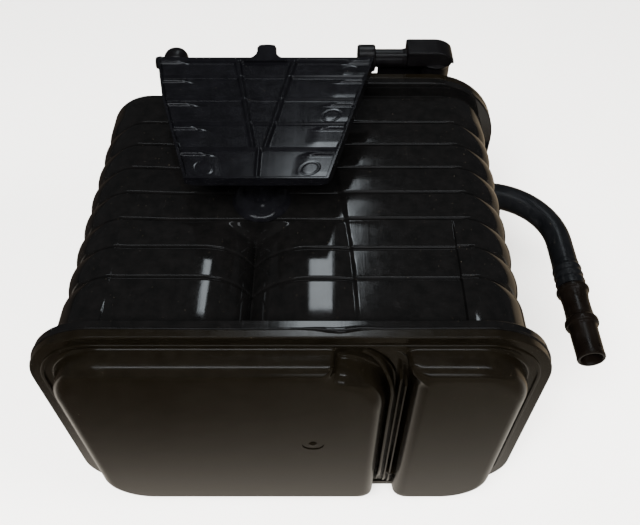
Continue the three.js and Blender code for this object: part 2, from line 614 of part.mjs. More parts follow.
const SPRING_PLACES = {
  main: [[-72, -40], [8, -40], [-72, -115], [8, -115]],
  second: [[84, -40], [84, -112]],
};
const BED_BACKS = { main: MAIN_BED_BACK, second: SECOND_BED_BACK };
for (const chamber of ['main', 'second']) {
  const second = chamber === 'second';
  const plateY = SPRING_BACK + GAP;
  const padY = plateY + PLATE_THICK + GAP;
  const bedY = padY + PAD_THICK + GAP;
  const bedBack = BED_BACKS[chamber];
  const gridY = bedBack + GAP + PAD_THICK + GAP;
  SPRING_PLACES[chamber].forEach(([x, z], index) => {
    canister.add(mesh(`${chamber}_spring_${index + 1}`, compressionSpring(x, z), spring));
  });
  const plate = chamberFill(second, plateY, plateY + PLATE_THICK, 0.8);
  canister.add(mesh(`${chamber}_pressure_plate`,
    perforate(plate, second, plateY, plateY + PLATE_THICK, 30, 5), nylon));
  canister.add(mesh(`${chamber}_front_filter`, chamberFill(second, padY, padY + PAD_THICK, GAP), foam));
  canister.add(mesh(`${chamber}_carbon_bed`, chamberFill(second, bedY, bedBack, GAP), charcoal));
  canister.add(mesh(`${chamber}_rear_filter`,
    chamberFill(second, bedBack + GAP, bedBack + GAP + PAD_THICK, GAP), foam));
  const grid = chamberFill(second, gridY, gridY + PLATE_THICK, GAP);
  canister.add(mesh(`${chamber}_rear_grid`, perforate(grid, second, gridY, gridY + PLATE_THICK, 30, 9), nylon));
}

canister.add(mesh('purge_elbow', purgeElbow(), nylon));
canister.add(mesh('purge_elbow_seal', ring([NECK_X, PORT_Y, SEAL_Z], [0, 0, 1], 5.2, 6.3, 3), rubber));
canister.add(mesh('purge_nozzle_collar', ring([37, PORT_Y, NOZZLE_Z], [1, 0, 0], NOZZLE_RADIUS + GAP, 8.2, 11), nylon));
canister.add(mesh('tank_elbow', tankElbow(), nylon));
canister.add(mesh('tank_elbow_seal', ring([TANK_PORT_X, PORT_Y, SEAL_Z], [0, 0, 1], 3.4, 4.4, 3), rubber));
canister.add(mesh('fresh_air_tube', freshAirTube(), tubing));
canister.add(mesh('fresh_air_grommet', ring([HALF_WIDTH + 1 + GAP, TUBE_Y, TUBE_Z], [1, 0, 0], TUBE_RADIUS + GAP, 13, 5), rubber));
canister.add(mesh('quick_connect_end', quickConnectEnd(), nylon));

const bounds = new THREE.Box3().setFromObject(canister);
canister.position.set(-(bounds.min.x + bounds.max.x) / 2, -(bounds.min.y + bounds.max.y) / 2, -bounds.min.z);
const part = new THREE.Group();
part.add(canister);

export default part;
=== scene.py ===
import math

import bmesh
import bpy
import numpy as np
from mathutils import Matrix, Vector


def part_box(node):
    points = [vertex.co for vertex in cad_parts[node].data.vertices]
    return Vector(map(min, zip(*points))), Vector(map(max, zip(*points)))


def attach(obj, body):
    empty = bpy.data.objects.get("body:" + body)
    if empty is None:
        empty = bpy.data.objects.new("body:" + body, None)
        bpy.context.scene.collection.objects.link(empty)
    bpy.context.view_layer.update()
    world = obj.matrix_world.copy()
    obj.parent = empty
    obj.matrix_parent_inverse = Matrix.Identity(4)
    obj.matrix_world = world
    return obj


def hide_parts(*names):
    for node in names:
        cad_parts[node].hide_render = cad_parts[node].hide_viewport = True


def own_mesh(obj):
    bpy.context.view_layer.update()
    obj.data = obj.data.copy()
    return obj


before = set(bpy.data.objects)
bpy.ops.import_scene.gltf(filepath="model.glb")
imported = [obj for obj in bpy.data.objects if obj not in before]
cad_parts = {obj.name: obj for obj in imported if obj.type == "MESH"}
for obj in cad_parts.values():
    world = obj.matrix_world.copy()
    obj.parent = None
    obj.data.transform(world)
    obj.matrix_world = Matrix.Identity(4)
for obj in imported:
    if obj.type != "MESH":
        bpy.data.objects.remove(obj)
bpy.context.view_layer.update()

MM = 0.001
CORE = 0.01                       # radius at which a turned solid closes on its axis
LIP = 7.6                         # flanges stand this far outside the ribs
_COVER_LOW, _COVER_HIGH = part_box("front_cover")
ORIGIN = np.array([
    (_COVER_LOW.x + _COVER_HIGH.x) / 2,
    _COVER_LOW.y,
    _COVER_HIGH.z - LIP * MM,
])
HOUSING = "housing"

# ---- driving dimensions, in housing millimetres ----
HALF_WIDTH = 116.6
HEIGHT = 153.0
CORNER = 28.0
BODY_FRONT = 19.3
FLANGE_BACK = 24.0
FILLET = 2.0                      # between the front flange and the ribs
RIBS_END = 193.0
BODY_END = 197.0
BODY_BACK = 203.0
FLANGE_THICK = 4.7
GAP = 0.3

RIB_PITCH = 19.1
GROOVES = [54.5 + k * RIB_PITCH for k in range(7)]
LOBE_END = GROOVES[2]
SIDE_GROOVE = (4.0, 0.3, 9.0)     # depth, half of the flat floor, width of each rounded shoulder
TOP_GROOVE = (1.5, 0.45, 1.1)
SKIN = 6.4                        # from the rib crowns to the chambers

PANEL_LEFT = -86.0
PANEL_RIGHT = 82.5
LEFT_CROWN = -50.2
RIGHT_CROWN = 14.0
LEFT_LOBE = (80.0, 10.2, 24.0)    # radius near the crown, where it ends, radius of the fall
RIGHT_LOBE_VALLEY = (900.0, 5.0, 34.8)
RIGHT_LOBE_STEP = (900.0, 5.0, 60.0)
DIVIDER_X = 50.4
DIVIDER_WALL = 3.0
CHAMBER_END = 190.0
WINDOW = ((-66, 40), (CHAMBER_END - 1, BODY_BACK + 1), (-136, -24))

COVER_FLANGE_Y = 14.3
PAN_HALF_WIDTH = 111.5
PAN_BOTTOM = -149.5
PAN_CORNER = 27.0
PAN_ROUND = 6.6
PAN_FOOT = 2.2
PAN_DRAFT = 0.5
COVER_WALL = 2.6
GATE = (10.2, 0, -71.5)           # middle of the moulding mark on the wide pan
CHANNEL_LEFT = 45.4
CHANNEL_RIGHT = 56.5
STEP_X = 20.5
STEP_DROP = 6.0
STEP_RADIUS = 28.0
TURN_X = CHANNEL_LEFT - STEP_RADIUS   # centre of the wide pan's stepped corner
TURN_Z = -STEP_DROP - STEP_RADIUS
SWEEP_RADIUS = 13.5

REAR_TOP_LIP = 6.2
REAR_LEFT = -84.0
REAR_LEFT_CORNER = 14.0
REAR_RIGHT = 126.0
REAR_CORNER = 45.0
REAR_PAN_BACK = 231.0
REAR_PAN_INSET = 12.5
REAR_PAN_LEFT_INSET = 2.0

BRACKET_X = -17.2
BRACKET_FRONT = 91.0
BRACKET_BACK = 190.0
PLATE_TOP = 30.5
PLATE_FLOOR = 28.0
BRACKET_SKIN = 2.6
BRACKET_RIBS = [114.2 + k * 19.85 for k in range(4)]
PAD_BACKS = [110.4, 130.0, 149.6, 169.8, 187.2]
BOSS_Y = 107.0
BOSS_RADIUS = 8.0
FOOT_X = 24.0                     # either side of the tray's middle
FOOT_Y = 176.0

PORT_Y = 219.0
PORT_SEAT = REAR_TOP_LIP - REAR_PAN_INSET + 2 + GAP
ELBOW_X = 81.5
NECK_X = 85.5
ELBOW_TOP = 18.5
ELBOW_BOTTOM = 8.5
NOZZLE_Z = 9.5
NOZZLE_TIP_X = 38.0
TANK_PORT_X = -75.5
TANK_HEAD_Z = 9.0
TANK_NOZZLE_Z = 6.0
TANK_NOZZLE_END = -88.5

TUBE_RADIUS = 8.3
TUBE_BORE = 6.2
TUBE_Y = 178.0
TUBE_Z = -70.0
TUBE_START_X = 111.0
TUBE_BEND = 42.0
TUBE_RUN_X = 165.6
TUBE_END_Y = 99.5
FITTING_TIP_Y = 50.0

SPRING_PLACES = {
    "main": [(-72, -40), (8, -40), (-72, -115), (8, -115)],
    "second": [(84, -40), (84, -112)],
}
SPRING_BACK = 33.0
SPRING_RADIUS = 9.0
SPRING_WIRE = 0.9

rng = np.random.default_rng(7)


# ---- meshes ----
def at(points):
    """Housing millimetres to the frame's metres."""
    return np.asarray(points, float) * MM + ORIGIN


def smooth(t):
    t = np.clip(t, 0, 1)
    return t * t * (3 - 2 * t)


def arc(cx, cy, radius, start, end, steps):
    """Points of an arc, in degrees, both ends included."""
    turn = np.radians(np.linspace(start, end, steps + 1))
    return np.column_stack([cx + radius * np.cos(turn), cy + radius * np.sin(turn)])


def link_object(name, data):
    obj = bpy.data.objects.new(name, data)
    bpy.context.scene.collection.objects.link(obj)
    return obj


def mesh_object(name, vertices, faces):
    mesh = bpy.data.meshes.new(name)
    mesh.from_pydata([tuple(v) for v in at(vertices)], [], faces)
    obj = link_object(name, mesh)
    bm = bmesh.new()
    bm.from_mesh(mesh)
    bmesh.ops.remove_doubles(bm, verts=bm.verts, dist=1e-7)
    bmesh.ops.recalc_face_normals(bm, faces=bm.faces)
    bm.to_mesh(mesh)
    bm.free()
    return obj


def loft(name, rings, closed=True):
    """A skin through rings of equally many points. Open rings close on each other end to end."""
    count = len(rings[0])
    vertices = np.vstack(rings)
    faces = []
    levels = len(rings)
    for level in range(levels - 1 if closed else levels):
        base = level * count
        above = ((level + 1) % levels) * count
        for i in range(count):
            j = (i + 1) % count
            faces.append((base + i, base + j, above + j, above + i))
    if closed:
        faces.append(tuple(range(count))[::-1])
        faces.append(tuple((levels - 1) * count + i for i in range(count)))
    return mesh_object(name, vertices, faces)


def lathe(name, profile, centre, axis, sides=64, ring=False):
    """Turns (radius, along) pairs about an axis. A ring's profile closes on itself."""
    axis = np.asarray(axis, float) / np.linalg.norm(axis)
    helper = np.array([0, 0, 1.0]) if abs(axis[2]) < 0.9 else np.array([1.0, 0, 0])
    u = np.cross(axis, helper)
    u /= np.linalg.norm(u)
    v = np.cross(axis, u)
    turn = np.linspace(0, 2 * math.pi, sides, endpoint=False)
    circle = np.outer(np.cos(turn), u) + np.outer(np.sin(turn), v)
    rings = [np.asarray(centre) + axis * along + circle * radius for radius, along in profile]
    return loft(name, rings, closed=not ring)


def rounded(profile, radius, steps=4):
    """The open profile with its inner corners turned into small arcs."""
    points = [np.asarray(p, float) for p in profile]
    result = [points[0]]
    for before, corner, after in zip(points, points[1:], points[2:]):
        a, b = before - corner, after - corner
        reach = min(radius, np.linalg.norm(a) * 0.45, np.linalg.norm(b) * 0.45)
        start = corner + a / np.linalg.norm(a) * reach
        end = corner + b / np.linalg.norm(b) * reach
        for t in np.linspace(0, 1, steps + 1):
            result.append((1 - t) ** 2 * start + 2 * t * (1 - t) * corner + t * t * end)
    result.append(points[-1])
    return [tuple(p) for p in result]


def sweep(name, path, radius_at, sides=32):
    """A round skin along a path; radius_at(share of the length) may vary."""
    path = np.asarray(path, float)
    tangents = np.gradient(path, axis=0)
    tangents /= np.linalg.norm(tangents, axis=1)[:, None]
    length = np.concatenate([[0], np.cumsum(np.linalg.norm(np.diff(path, axis=0), axis=1))])
    up = np.array([0, 0, 1.0]) if abs(tangents[0][2]) < 0.9 else np.array([1.0, 0, 0])
    turn = np.linspace(0, 2 * math.pi, sides, endpoint=False)
    rings = []
    for point, tangent, share in zip(path, tangents, length / length[-1]):
        u = np.cross(tangent, up)
        u /= np.linalg.norm(u)
        v = np.cross(u, tangent)
        up = v
        radius = radius_at(share)
        rings.append(point + radius * (np.outer(np.cos(turn), u) + np.outer(np.sin(turn), v)))
    return loft(name, rings)


def layers(outline_at, sections):
    """One ring for each (y, inset): the outline in X and Z at that inset, moved to y."""
    return [np.insert(outline_at(inset), 1, y, axis=1) for y, inset in sections]


def edge_round(start, way, radius, inset, degrees):
    """Sections of a quarter-round edge that ends at y = start."""
    return [(start + way * radius * (1 - math.sin(t)), inset + radius * (1 - math.cos(t)))
            for t in np.radians(degrees)]


def round_box(left, right, low, high, left_radius, right_radius, steps):
    """A rectangle's outline with round corners, from the lower left."""
    a, b = left_radius, right_radius
    return np.vstack([
        arc(left + a, low + a, a, 180, 270, steps),
        arc(right - b, low + b, b, -90, 0, steps),
        arc(right - b, high - b, b, 0, 90, steps),
        arc(left + a, high - a, a, 90, 180, steps),
    ])


def plate(name, outline_at, y0, y1, round_front, round_back, steps=4):
    """A plate between y0 and y1 with rounded edges."""
    sections = []
    for radius, start, way in ((round_front, y0, 1), (round_back, y1, -1)):
        turns = np.radians(np.linspace(0, 90, steps + 1))
        part = [(start + way * radius * (1 - math.cos(t)), radius * (1 - math.sin(t))) for t in turns]
        sections += part if way == 1 else part[::-1]
    return loft(name, layers(outline_at, sections))


def rod(name, radius, low, high, centre, axis, sides=32):
    """A plain cylinder between two places along its axis."""
    return lathe(name, [(CORE, low), (radius, low), (radius, high), (CORE, high)], centre, axis, sides)


def box_mesh(name, x, y, z):
    corners = np.array([(x[0], z[0]), (x[1], z[0]), (x[1], z[1]), (x[0], z[1])], float)
    return loft(name, [np.insert(corners, 1, place, axis=1) for place in y])


def combine(obj, others, operation="UNION"):
    """Joins or cuts closed meshes for good, and drops the tools."""
    for other in others:
        step = obj.modifiers.new("step", "BOOLEAN")
        step.solver = "MANIFOLD"
        step.operation = operation
        step.object = other
    bpy.context.view_layer.update()
    evaluated = obj.evaluated_get(bpy.context.evaluated_depsgraph_get())
    result = bpy.data.meshes.new_from_object(evaluated)
    obj.modifiers.clear()
    obj.data = result
    for other in others:
        bpy.data.objects.remove(other)
    return obj


def finish_piece(obj, material, slot, *nodes, body=HOUSING, sharp=34):
    """Material, shading, body and the CAD nodes that this piece stands for. The slot argument is not used."""
    obj.data.materials.clear()
    obj.data.materials.append(material)
    bm = bmesh.new()
    bm.from_mesh(obj.data)
    bmesh.ops.dissolve_degenerate(bm, edges=bm.edges, dist=1e-7)
    for face in bm.faces:
        face.smooth = True
    for edge in bm.edges:
        edge.smooth = len(edge.link_faces) == 2 and edge.calc_face_angle(0) < math.radians(sharp)
    bm.to_mesh(obj.data)
    bm.free()
    weighted = obj.modifiers.new("normals", "WEIGHTED_NORMAL")
    weighted.keep_sharp = True
    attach(obj, body)
    if nodes:
        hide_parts(*nodes)
    return obj


# ---- materials ----
class Finish:
    """A node material built step by step around one Principled shader."""

    def __init__(self, name, roughness, metallic=0.0, gloss=0.5):
        self.material = bpy.data.materials.new(name)
        self.material.use_nodes = True
        self.tree = self.material.node_tree
        self.shader = self.tree.nodes["Principled BSDF"]
        self.shader.inputs["Metallic"].default_value = metallic
        self.shader.inputs["Roughness"].default_value = roughness
        self.shader.inputs["Specular IOR Level"].default_value = gloss
        self.place = self.tree.nodes.new("ShaderNodeTexCoord").outputs["Object"]
        self.bump = None

    def feed(self, socket, value):
        """Links another socket or sets a constant."""
        if isinstance(value, bpy.types.NodeSocket):
            self.tree.links.new(value, socket)
        else:
            socket.default_value = value

    def node(self, kind, settings=(), **inputs):
        node = self.tree.nodes.new(kind)
        for key, value in dict(settings).items():
            setattr(node, key, value)
        for key, value in inputs.items():
            socket = node.inputs[int(key[1:])] if key[0] == "i" and key[1:].isdigit() else node.inputs[key]
            self.feed(socket, value)
        return node

    def stretched(self, scale):
        """Object coordinates multiplied by one factor for each axis, in 1/m."""
        return self.node("ShaderNodeVectorMath", {"operation": "MULTIPLY"}, i0=self.place, i1=scale).outputs[0]

    def noise(self, scale, detail=3.0, roughness=0.5, distortion=0.0):
        vector = self.stretched(scale if hasattr(scale, "__len__") else (scale,) * 3)
        return self.node("ShaderNodeTexNoise", Vector=vector, Scale=1.0, Detail=detail,
                         Roughness=roughness, Distortion=distortion).outputs["Fac"]

    def remap(self, value, low, high, to_low, to_high):
        return self.node("ShaderNodeMapRange", Value=value, i1=low, i2=high, i3=to_low, i4=to_high).outputs[0]

    def math(self, operation, a, b=0.0):
        return self.node("ShaderNodeMath", {"operation": operation}, i0=a, i1=b).outputs[0]

    def mix(self, share, a, b):
        node = self.node("ShaderNodeMix", {"data_type": "RGBA"}, i0=share)
        for socket, colour in zip(node.inputs[6:8], (a, b)):
            self.feed(socket, colour if isinstance(colour, bpy.types.NodeSocket) else (*colour, 1))
        return node.outputs[2]

    def specks(self, scale, size, share):
        """Round dots in some of the cells of a grid: 1 inside a dot, 0 outside."""
        cells = self.node("ShaderNodeTexVoronoi", Vector=self.stretched((scale,) * 3), Scale=1.0)
        lucky = self.node("ShaderNodeSeparateColor", Color=cells.outputs["Color"]).outputs[0]
        near = self.remap(cells.outputs["Distance"], size * 0.6, size, 1, 0)
        return self.math("MULTIPLY", near, self.math("LESS_THAN", lucky, share))

    def raise_by(self, height, distance, strength=1.0):
        node = self.node("ShaderNodeBump", Height=height, Distance=distance, Strength=strength)
        if self.bump is not None:
            self.tree.links.new(self.bump, node.inputs["Normal"])
        self.bump = node.outputs["Normal"]

    def done(self, colour, roughness):
        self.tree.links.new(colour, self.shader.inputs["Base Color"])
        self.tree.links.new(roughness, self.shader.inputs["Roughness"])
        if self.bump is not None:
            self.tree.links.new(self.bump, self.shader.inputs["Normal"])
        return self.material


def moulded_nylon(name, dark, light, rough_low, rough_high, dust, wave):
    """Black glass-filled nylon: slightly wavy skin, flow lines along the draw, wear and dust."""
    finish = Finish(name, rough_low)
    broad = finish.noise(28, 3, 0.55)
    flow = finish.noise((420, 14, 420), 4, 0.6)
    cloud = finish.noise(150, 6, 0.65)
    grain = finish.noise(5200, 2, 0.6)
    tone = finish.mix(finish.remap(cloud, 0.35, 0.7, 0, 1), dark, light)
    scuff = finish.math("MULTIPLY", finish.remap(finish.noise((900, 90, 260), 5, 0.7), 0.62, 0.74, 0, 1),
                        finish.remap(finish.noise(45, 2), 0.5, 0.68, 0, 1))
    tone = finish.mix(finish.math("MULTIPLY", scuff, 0.1), tone, (0.02, 0.021, 0.023))
    dots = finish.specks(260, 0.055, dust)
    fine_dots = finish.specks(520, 0.09, dust)
    specks = finish.math("MAXIMUM", dots, finish.math("MULTIPLY", fine_dots, 0.6))
    tone = finish.mix(finish.math("MULTIPLY", specks, 0.3), tone, (0.12, 0.10, 0.075))
    span = finish.math("ADD", finish.math("MULTIPLY", cloud, 0.6), finish.math("MULTIPLY", flow, 0.4))
    rough = finish.remap(span, 0.38, 0.66, rough_low, rough_high)
    rough = finish.math("ADD", rough, finish.math("MULTIPLY", scuff, 0.09))
    rough = finish.math("ADD", rough, finish.math("MULTIPLY", specks, 0.3))
    finish.raise_by(broad, wave)
    finish.raise_by(flow, 0.000012)
    finish.raise_by(grain, 0.000003)
    return finish.done(tone, rough)


def satin_plastic(name, dark, light, rough_low, rough_high, gloss):
    """Extruded or fine-textured plastic: matt, with fine grain and rubbed patches."""
    finish = Finish(name, rough_low, gloss=gloss)
    cloud = finish.noise(90, 5, 0.6)
    grain = finish.noise(3600, 2, 0.6)
    rub = finish.remap(finish.noise((260, 60, 260), 5, 0.7), 0.55, 0.72, 0, 1)
    tone = finish.mix(finish.remap(cloud, 0.35, 0.7, 0, 1), dark, light)
    tone = finish.mix(finish.math("MULTIPLY", rub, 0.15), tone, (0.02, 0.02, 0.021))
    dots = finish.specks(260, 0.07, 0.2)
    tone = finish.mix(finish.math("MULTIPLY", dots, 0.35), tone, (0.16, 0.145, 0.12))
    rough = finish.remap(cloud, 0.35, 0.7, rough_low, rough_high)
    finish.raise_by(cloud, 0.00008)
    finish.raise_by(grain, 0.000012)
    return finish.done(tone, rough)


def seal_rubber():
    finish = Finish("seal_rubber", 0.6)
    cloud = finish.noise(400, 4, 0.6)
    tone = finish.mix(cloud, (0.008, 0.008, 0.008), (0.024, 0.024, 0.023))
    finish.raise_by(finish.noise(4000, 2), 0.00001)
    return finish.done(tone, finish.remap(cloud, 0.3, 0.7, 0.5, 0.75))


def carbon_granules():
    finish = Finish("carbon_granules", 0.8)
    cells = finish.node("ShaderNodeTexVoronoi", Vector=finish.stretched((560,) * 3), Scale=1.0)
    shade = finish.node("ShaderNodeSeparateColor", Color=cells.outputs["Color"]).outputs[0]
    tone = finish.mix(shade, (0.008, 0.008, 0.009), (0.045, 0.045, 0.047))
    finish.raise_by(finish.math("SUBTRACT", 1.0, cells.outputs["Distance"]), 0.0006)
    finish.raise_by(finish.noise(4200, 3), 0.00004)
    return finish.done(tone, finish.remap(shade, 0, 1, 0.6, 0.92))


def open_foam():
    finish = Finish("open_foam", 0.9)
    pores = finish.node("ShaderNodeTexVoronoi", {"feature": "DISTANCE_TO_EDGE"},
                        Vector=finish.stretched((900,) * 3), Scale=1.0).outputs["Distance"]
    wall = finish.remap(pores, 0.0, 0.18, 1, 0)
    # painted shade: the pore centres are dark and the cell walls light, standing in for the shade inside the pores
    tone = finish.mix(wall, (0.06, 0.06, 0.056), (0.34, 0.34, 0.31))
    finish.raise_by(wall, 0.0004)
    return finish.done(tone, finish.remap(wall, 0, 1, 0.95, 0.8))


def drawn_wire():
    finish = Finish("drawn_wire", 0.3, metallic=1.0)
    scratch = finish.noise((1800, 200, 1800), 4, 0.7)
    tone = finish.mix(scratch, (0.42, 0.42, 0.43), (0.7, 0.7, 0.71))
    finish.raise_by(scratch, 0.00001)
    return finish.done(tone, finish.remap(scratch, 0.3, 0.7, 0.22, 0.42))


BODY_NYLON = moulded_nylon("body_nylon", (0.0009, 0.0009, 0.0009), (0.0016, 0.0015, 0.0015),
                           0.07, 0.12, 0.22, 0.00011)
COVER_NYLON = moulded_nylon("cover_nylon", (0.0012, 0.0009, 0.0005), (0.0020, 0.0016, 0.0010),
                            0.17, 0.25, 0.1, 0.00007)
BRACKET_NYLON = moulded_nylon("bracket_nylon", (0.0008, 0.0008, 0.0010), (0.0014, 0.0014, 0.0018),
                              0.13, 0.19, 0.04, 0.00003)
PORT_NYLON = moulded_nylon("port_nylon", (0.0006, 0.0005, 0.0006), (0.0012, 0.0011, 0.0012),
                           0.28, 0.38, 0.06, 0.00004)
INNER_NYLON = moulded_nylon("inner_nylon", (0.022, 0.022, 0.024), (0.034, 0.034, 0.036), 0.4, 0.55, 0.05, 0.00005)
TUBE_PLASTIC = satin_plastic("tube_plastic", (0.0010, 0.0011, 0.0013), (0.0020, 0.0021, 0.0024), 0.3, 0.4, 0.32)
FITTING_PLASTIC = satin_plastic("fitting_plastic", (0.0010, 0.0007, 0.0005), (0.0018, 0.0013, 0.0010),
                                0.26, 0.36, 0.3)
RUBBER = seal_rubber()
CARBON = carbon_granules()
FOAM = open_foam()
STEEL = drawn_wire()


# ---- housing ----
def groove_depth(y, groove):
    """How far the skin sinks at y: a flat floor between two rounded shoulders."""
    depth, floor, shoulder = groove
    away = min(abs(y - g) for g in GROOVES)
    rise = min(max((floor + shoulder - away) / shoulder, 0), 1)
    return depth * (1 - math.sqrt(1 - rise * rise))


def lobe_drop(run, gentle, edge, radius):
    """Nearly flat up to `edge` from the crown, then falling along a circle."""
    first = np.clip(run, 0, edge)
    slope = np.minimum(edge / gentle + np.maximum(run - edge, 0) / radius, 0.985)
    fall = math.sqrt(1 - (edge / gentle) ** 2) - np.sqrt(1 - slope * slope)
    return first * first / (2 * gentle) + radius * np.where(run > edge, fall, 0)


def step_line(y):
    """The top's right half starts here, along a slightly curved step."""
    return 31.4 - 0.0008 * (y - 24) ** 2


def top_drop(x, y):
    """How far the top lies below the housing's highest plane."""
    left = lobe_drop(x - LEFT_CROWN, *LEFT_LOBE)
    right = np.maximum(lobe_drop(RIGHT_CROWN - x, *RIGHT_LOBE_VALLEY),
                       lobe_drop(x - RIGHT_CROWN, *RIGHT_LOBE_STEP))
    lobes = np.minimum(left, right)
    crease = np.maximum(1.4 - np.abs(left - right), 0)
    lobes = lobes - crease * crease / 5.6
    lobes = lobes * smooth((step_line(y) - x) / 2.2 + 0.5)
    sunk = 0.7 + 2.4 * (LOBE_END - y) / LOBE_END
    left_sunk = 0.2 * sunk * smooth((x - PANEL_LEFT) / 8 + 0.5)
    panel = left_sunk + (sunk - left_sunk) * smooth((x + 40) / 30)
    panel = panel * smooth((PANEL_RIGHT - x) / 0.7 + 0.5)
    front = panel + lobes
    rear = 1.1 * smooth((step_line(y) - x) / 2.6 + 0.5) * smooth((x + 88) / 30)
    share = 1 - (1 - np.clip((LOBE_END - 1.0 - y) / 5.5, 0, 1)) ** 2.2
    return rear * (1 - share) + front * share


def top_samples():
    """X places across the flat top, closer together at the valley and the steps."""
    edge = HALF_WIDTH - CORNER
    fine = [np.arange(c - 4, c + 4, 0.6) for c in (-20.7, PANEL_LEFT + 0.2, 29.6)]
    fine.append(np.arange(PANEL_RIGHT - 1.2, PANEL_RIGHT + 1.2, 0.14))
    places = np.concatenate([np.linspace(-edge, edge, 96), *fine, np.arange(14, 33, 1.2)])
    places = np.sort(places[(places >= -edge) & (places <= edge)])
    keep = np.concatenate([[True], np.diff(places) > 0.12])
    return places[keep]


TOP_X = top_samples()


def body_ring(y, inset=0.0, plain=False):
    """The housing's section at y, pushed in by inset."""
    deep = inset + (0 if plain else groove_depth(y, SIDE_GROOVE))
    thin = inset + (0 if plain else groove_depth(y, TOP_GROOVE))
    side = HALF_WIDTH - CORNER
    low = -HEIGHT + CORNER
    high = -CORNER
    steps = 16

    def corner(cx, cz, start, end, weights):
        turn = np.radians(np.linspace(start, end, steps + 1))
        radius = CORNER - (thin + (deep - thin) * weights)
        return np.column_stack([cx + radius * np.cos(turn), cz + radius * np.sin(turn)])

    blend_in = smooth(np.linspace(0, 1, steps + 1) / 0.55)
    full = np.ones(steps + 1)
    across = np.linspace(-side, side, 14)[1:-1]
    upright = np.linspace(low, high, 8)[1:-1]
    sag = 0.0 if plain else 0.25 * (2 * min(abs(y - g) for g in GROOVES) / RIB_PITCH - 1) ** 2
    top_z = -thin - top_drop(TOP_X, y) - (sag if y < GROOVES[-1] else 0)
    right_x = np.full(len(upright), HALF_WIDTH - deep)
    outline = np.vstack([
        np.column_stack([across, np.full(len(across), -HEIGHT + deep)]),
        corner(side, low, -90, 0, full),
        np.column_stack([right_x, upright]),
        corner(side, high, 0, 90, blend_in[::-1]),
        np.column_stack([TOP_X[::-1][1:-1], top_z[::-1][1:-1]]),
        corner(-side, high, 90, 180, blend_in),
        np.column_stack([-right_x, upright[::-1]]),
        corner(-side, low, 180, 270, full),
    ])
    return np.insert(outline, 1, y, axis=1)


def rear_outline(inset, left_inset=None, steps=12):
    left_inset = inset if left_inset is None else left_inset
    left, right = REAR_LEFT + left_inset, REAR_RIGHT - inset
    bottom, top = -HEIGHT - LIP + inset, REAR_TOP_LIP - inset
    small = max(REAR_LEFT_CORNER - left_inset, 0.8)
    return round_box(left, right, bottom, top, small, REAR_CORNER - inset, steps)


def front_outline(inset, steps=16):
    """The front flange's outline; inset 0 is its edge."""
    half = HALF_WIDTH + LIP - inset
    radius = CORNER + LIP - inset
    return round_box(-half, half, -HEIGHT - LIP + inset, LIP - inset, radius, radius, steps)


def body_stations():
    shoulders = [0, 0.3, 0.45, 0.52, 0.66, 0.86, 1.15, 1.55, 2.1, 2.9, 3.9, 5.1, 6.4, 7.8, 9.3]
    marks = {FLANGE_BACK, 27.0, 31.0, 36.0, 41.0, 45.0, 180.0, 186.0, 190.0, RIBS_END}
    marks |= {LOBE_END - 1.0 - 5.5 * k / 10 for k in range(11)}
    for groove in GROOVES:
        marks |= {groove - s for s in shoulders} | {groove + s for s in shoulders}
    return sorted(m for m in marks if FLANGE_BACK <= m <= RIBS_END)


def canister_body():
    rings = [body_ring(FLANGE_BACK - 1.5, -FILLET, plain=True)]
    rings += [body_ring(FLANGE_BACK + FILLET * (1 - math.cos(t)), -FILLET * (1 - math.sin(t)), plain=True)
              for t in (0.0, 0.5, 1.0)]
    rings += [body_ring(y) for y in body_stations() if y > FLANGE_BACK + FILLET]
    end_round = BODY_END - RIBS_END
    for turn in np.radians([18, 36, 54, 72, 90]):
        inset = end_round * (1 - math.cos(turn))
        rings.append(body_ring(RIBS_END + end_round * math.sin(turn), inset, plain=True))
    body = loft("canister_shell", rings)
    flange = plate("flange", front_outline, BODY_FRONT, FLANGE_BACK, 0.5, 0.9)
    back_flange = plate("back_flange", rear_outline, BODY_BACK - FLANGE_THICK, BODY_BACK, 0.9, 0.5)
    neck = plate("neck", lambda i: rear_outline(REAR_PAN_INSET + i, REAR_PAN_LEFT_INSET + i),
                 CHAMBER_END, BODY_BACK - 1, 0.5, 0.5)
    socket = lathe("socket", rounded([(CORE, -10), (14.6, -10), (14.6, 0.4), (13.4, 1.2), (CORE, 1.2)], 0.5),
                   (HALF_WIDTH, TUBE_Y, TUBE_Z), (1, 0, 0), 48)
    combine(body, [flange, back_flange, neck, socket])
    hollow = [body_ring(y, SKIN, plain=True) for y in
              [BODY_FRONT - 1, 30, 50, 70, *np.linspace(82, 96, 8), 110, 130, 150, 170, CHAMBER_END]]
    chamber = loft("chamber", hollow)
    window = box_mesh("window", *WINDOW)
    hole = rod("hole", TUBE_RADIUS + GAP, -36, 4, (HALF_WIDTH, TUBE_Y, TUBE_Z), (1, 0, 0))
    combine(body, [chamber, window, hole], "DIFFERENCE")
    half = DIVIDER_WALL / 2
    combine(body, [box_mesh("divider", (DIVIDER_X - half, DIVIDER_X + half), (BODY_FRONT, CHAMBER_END + 1),
                            (-HEIGHT + 4, -4.6))])
    finish_piece(body, BODY_NYLON, "black_nylon", "canister_body")


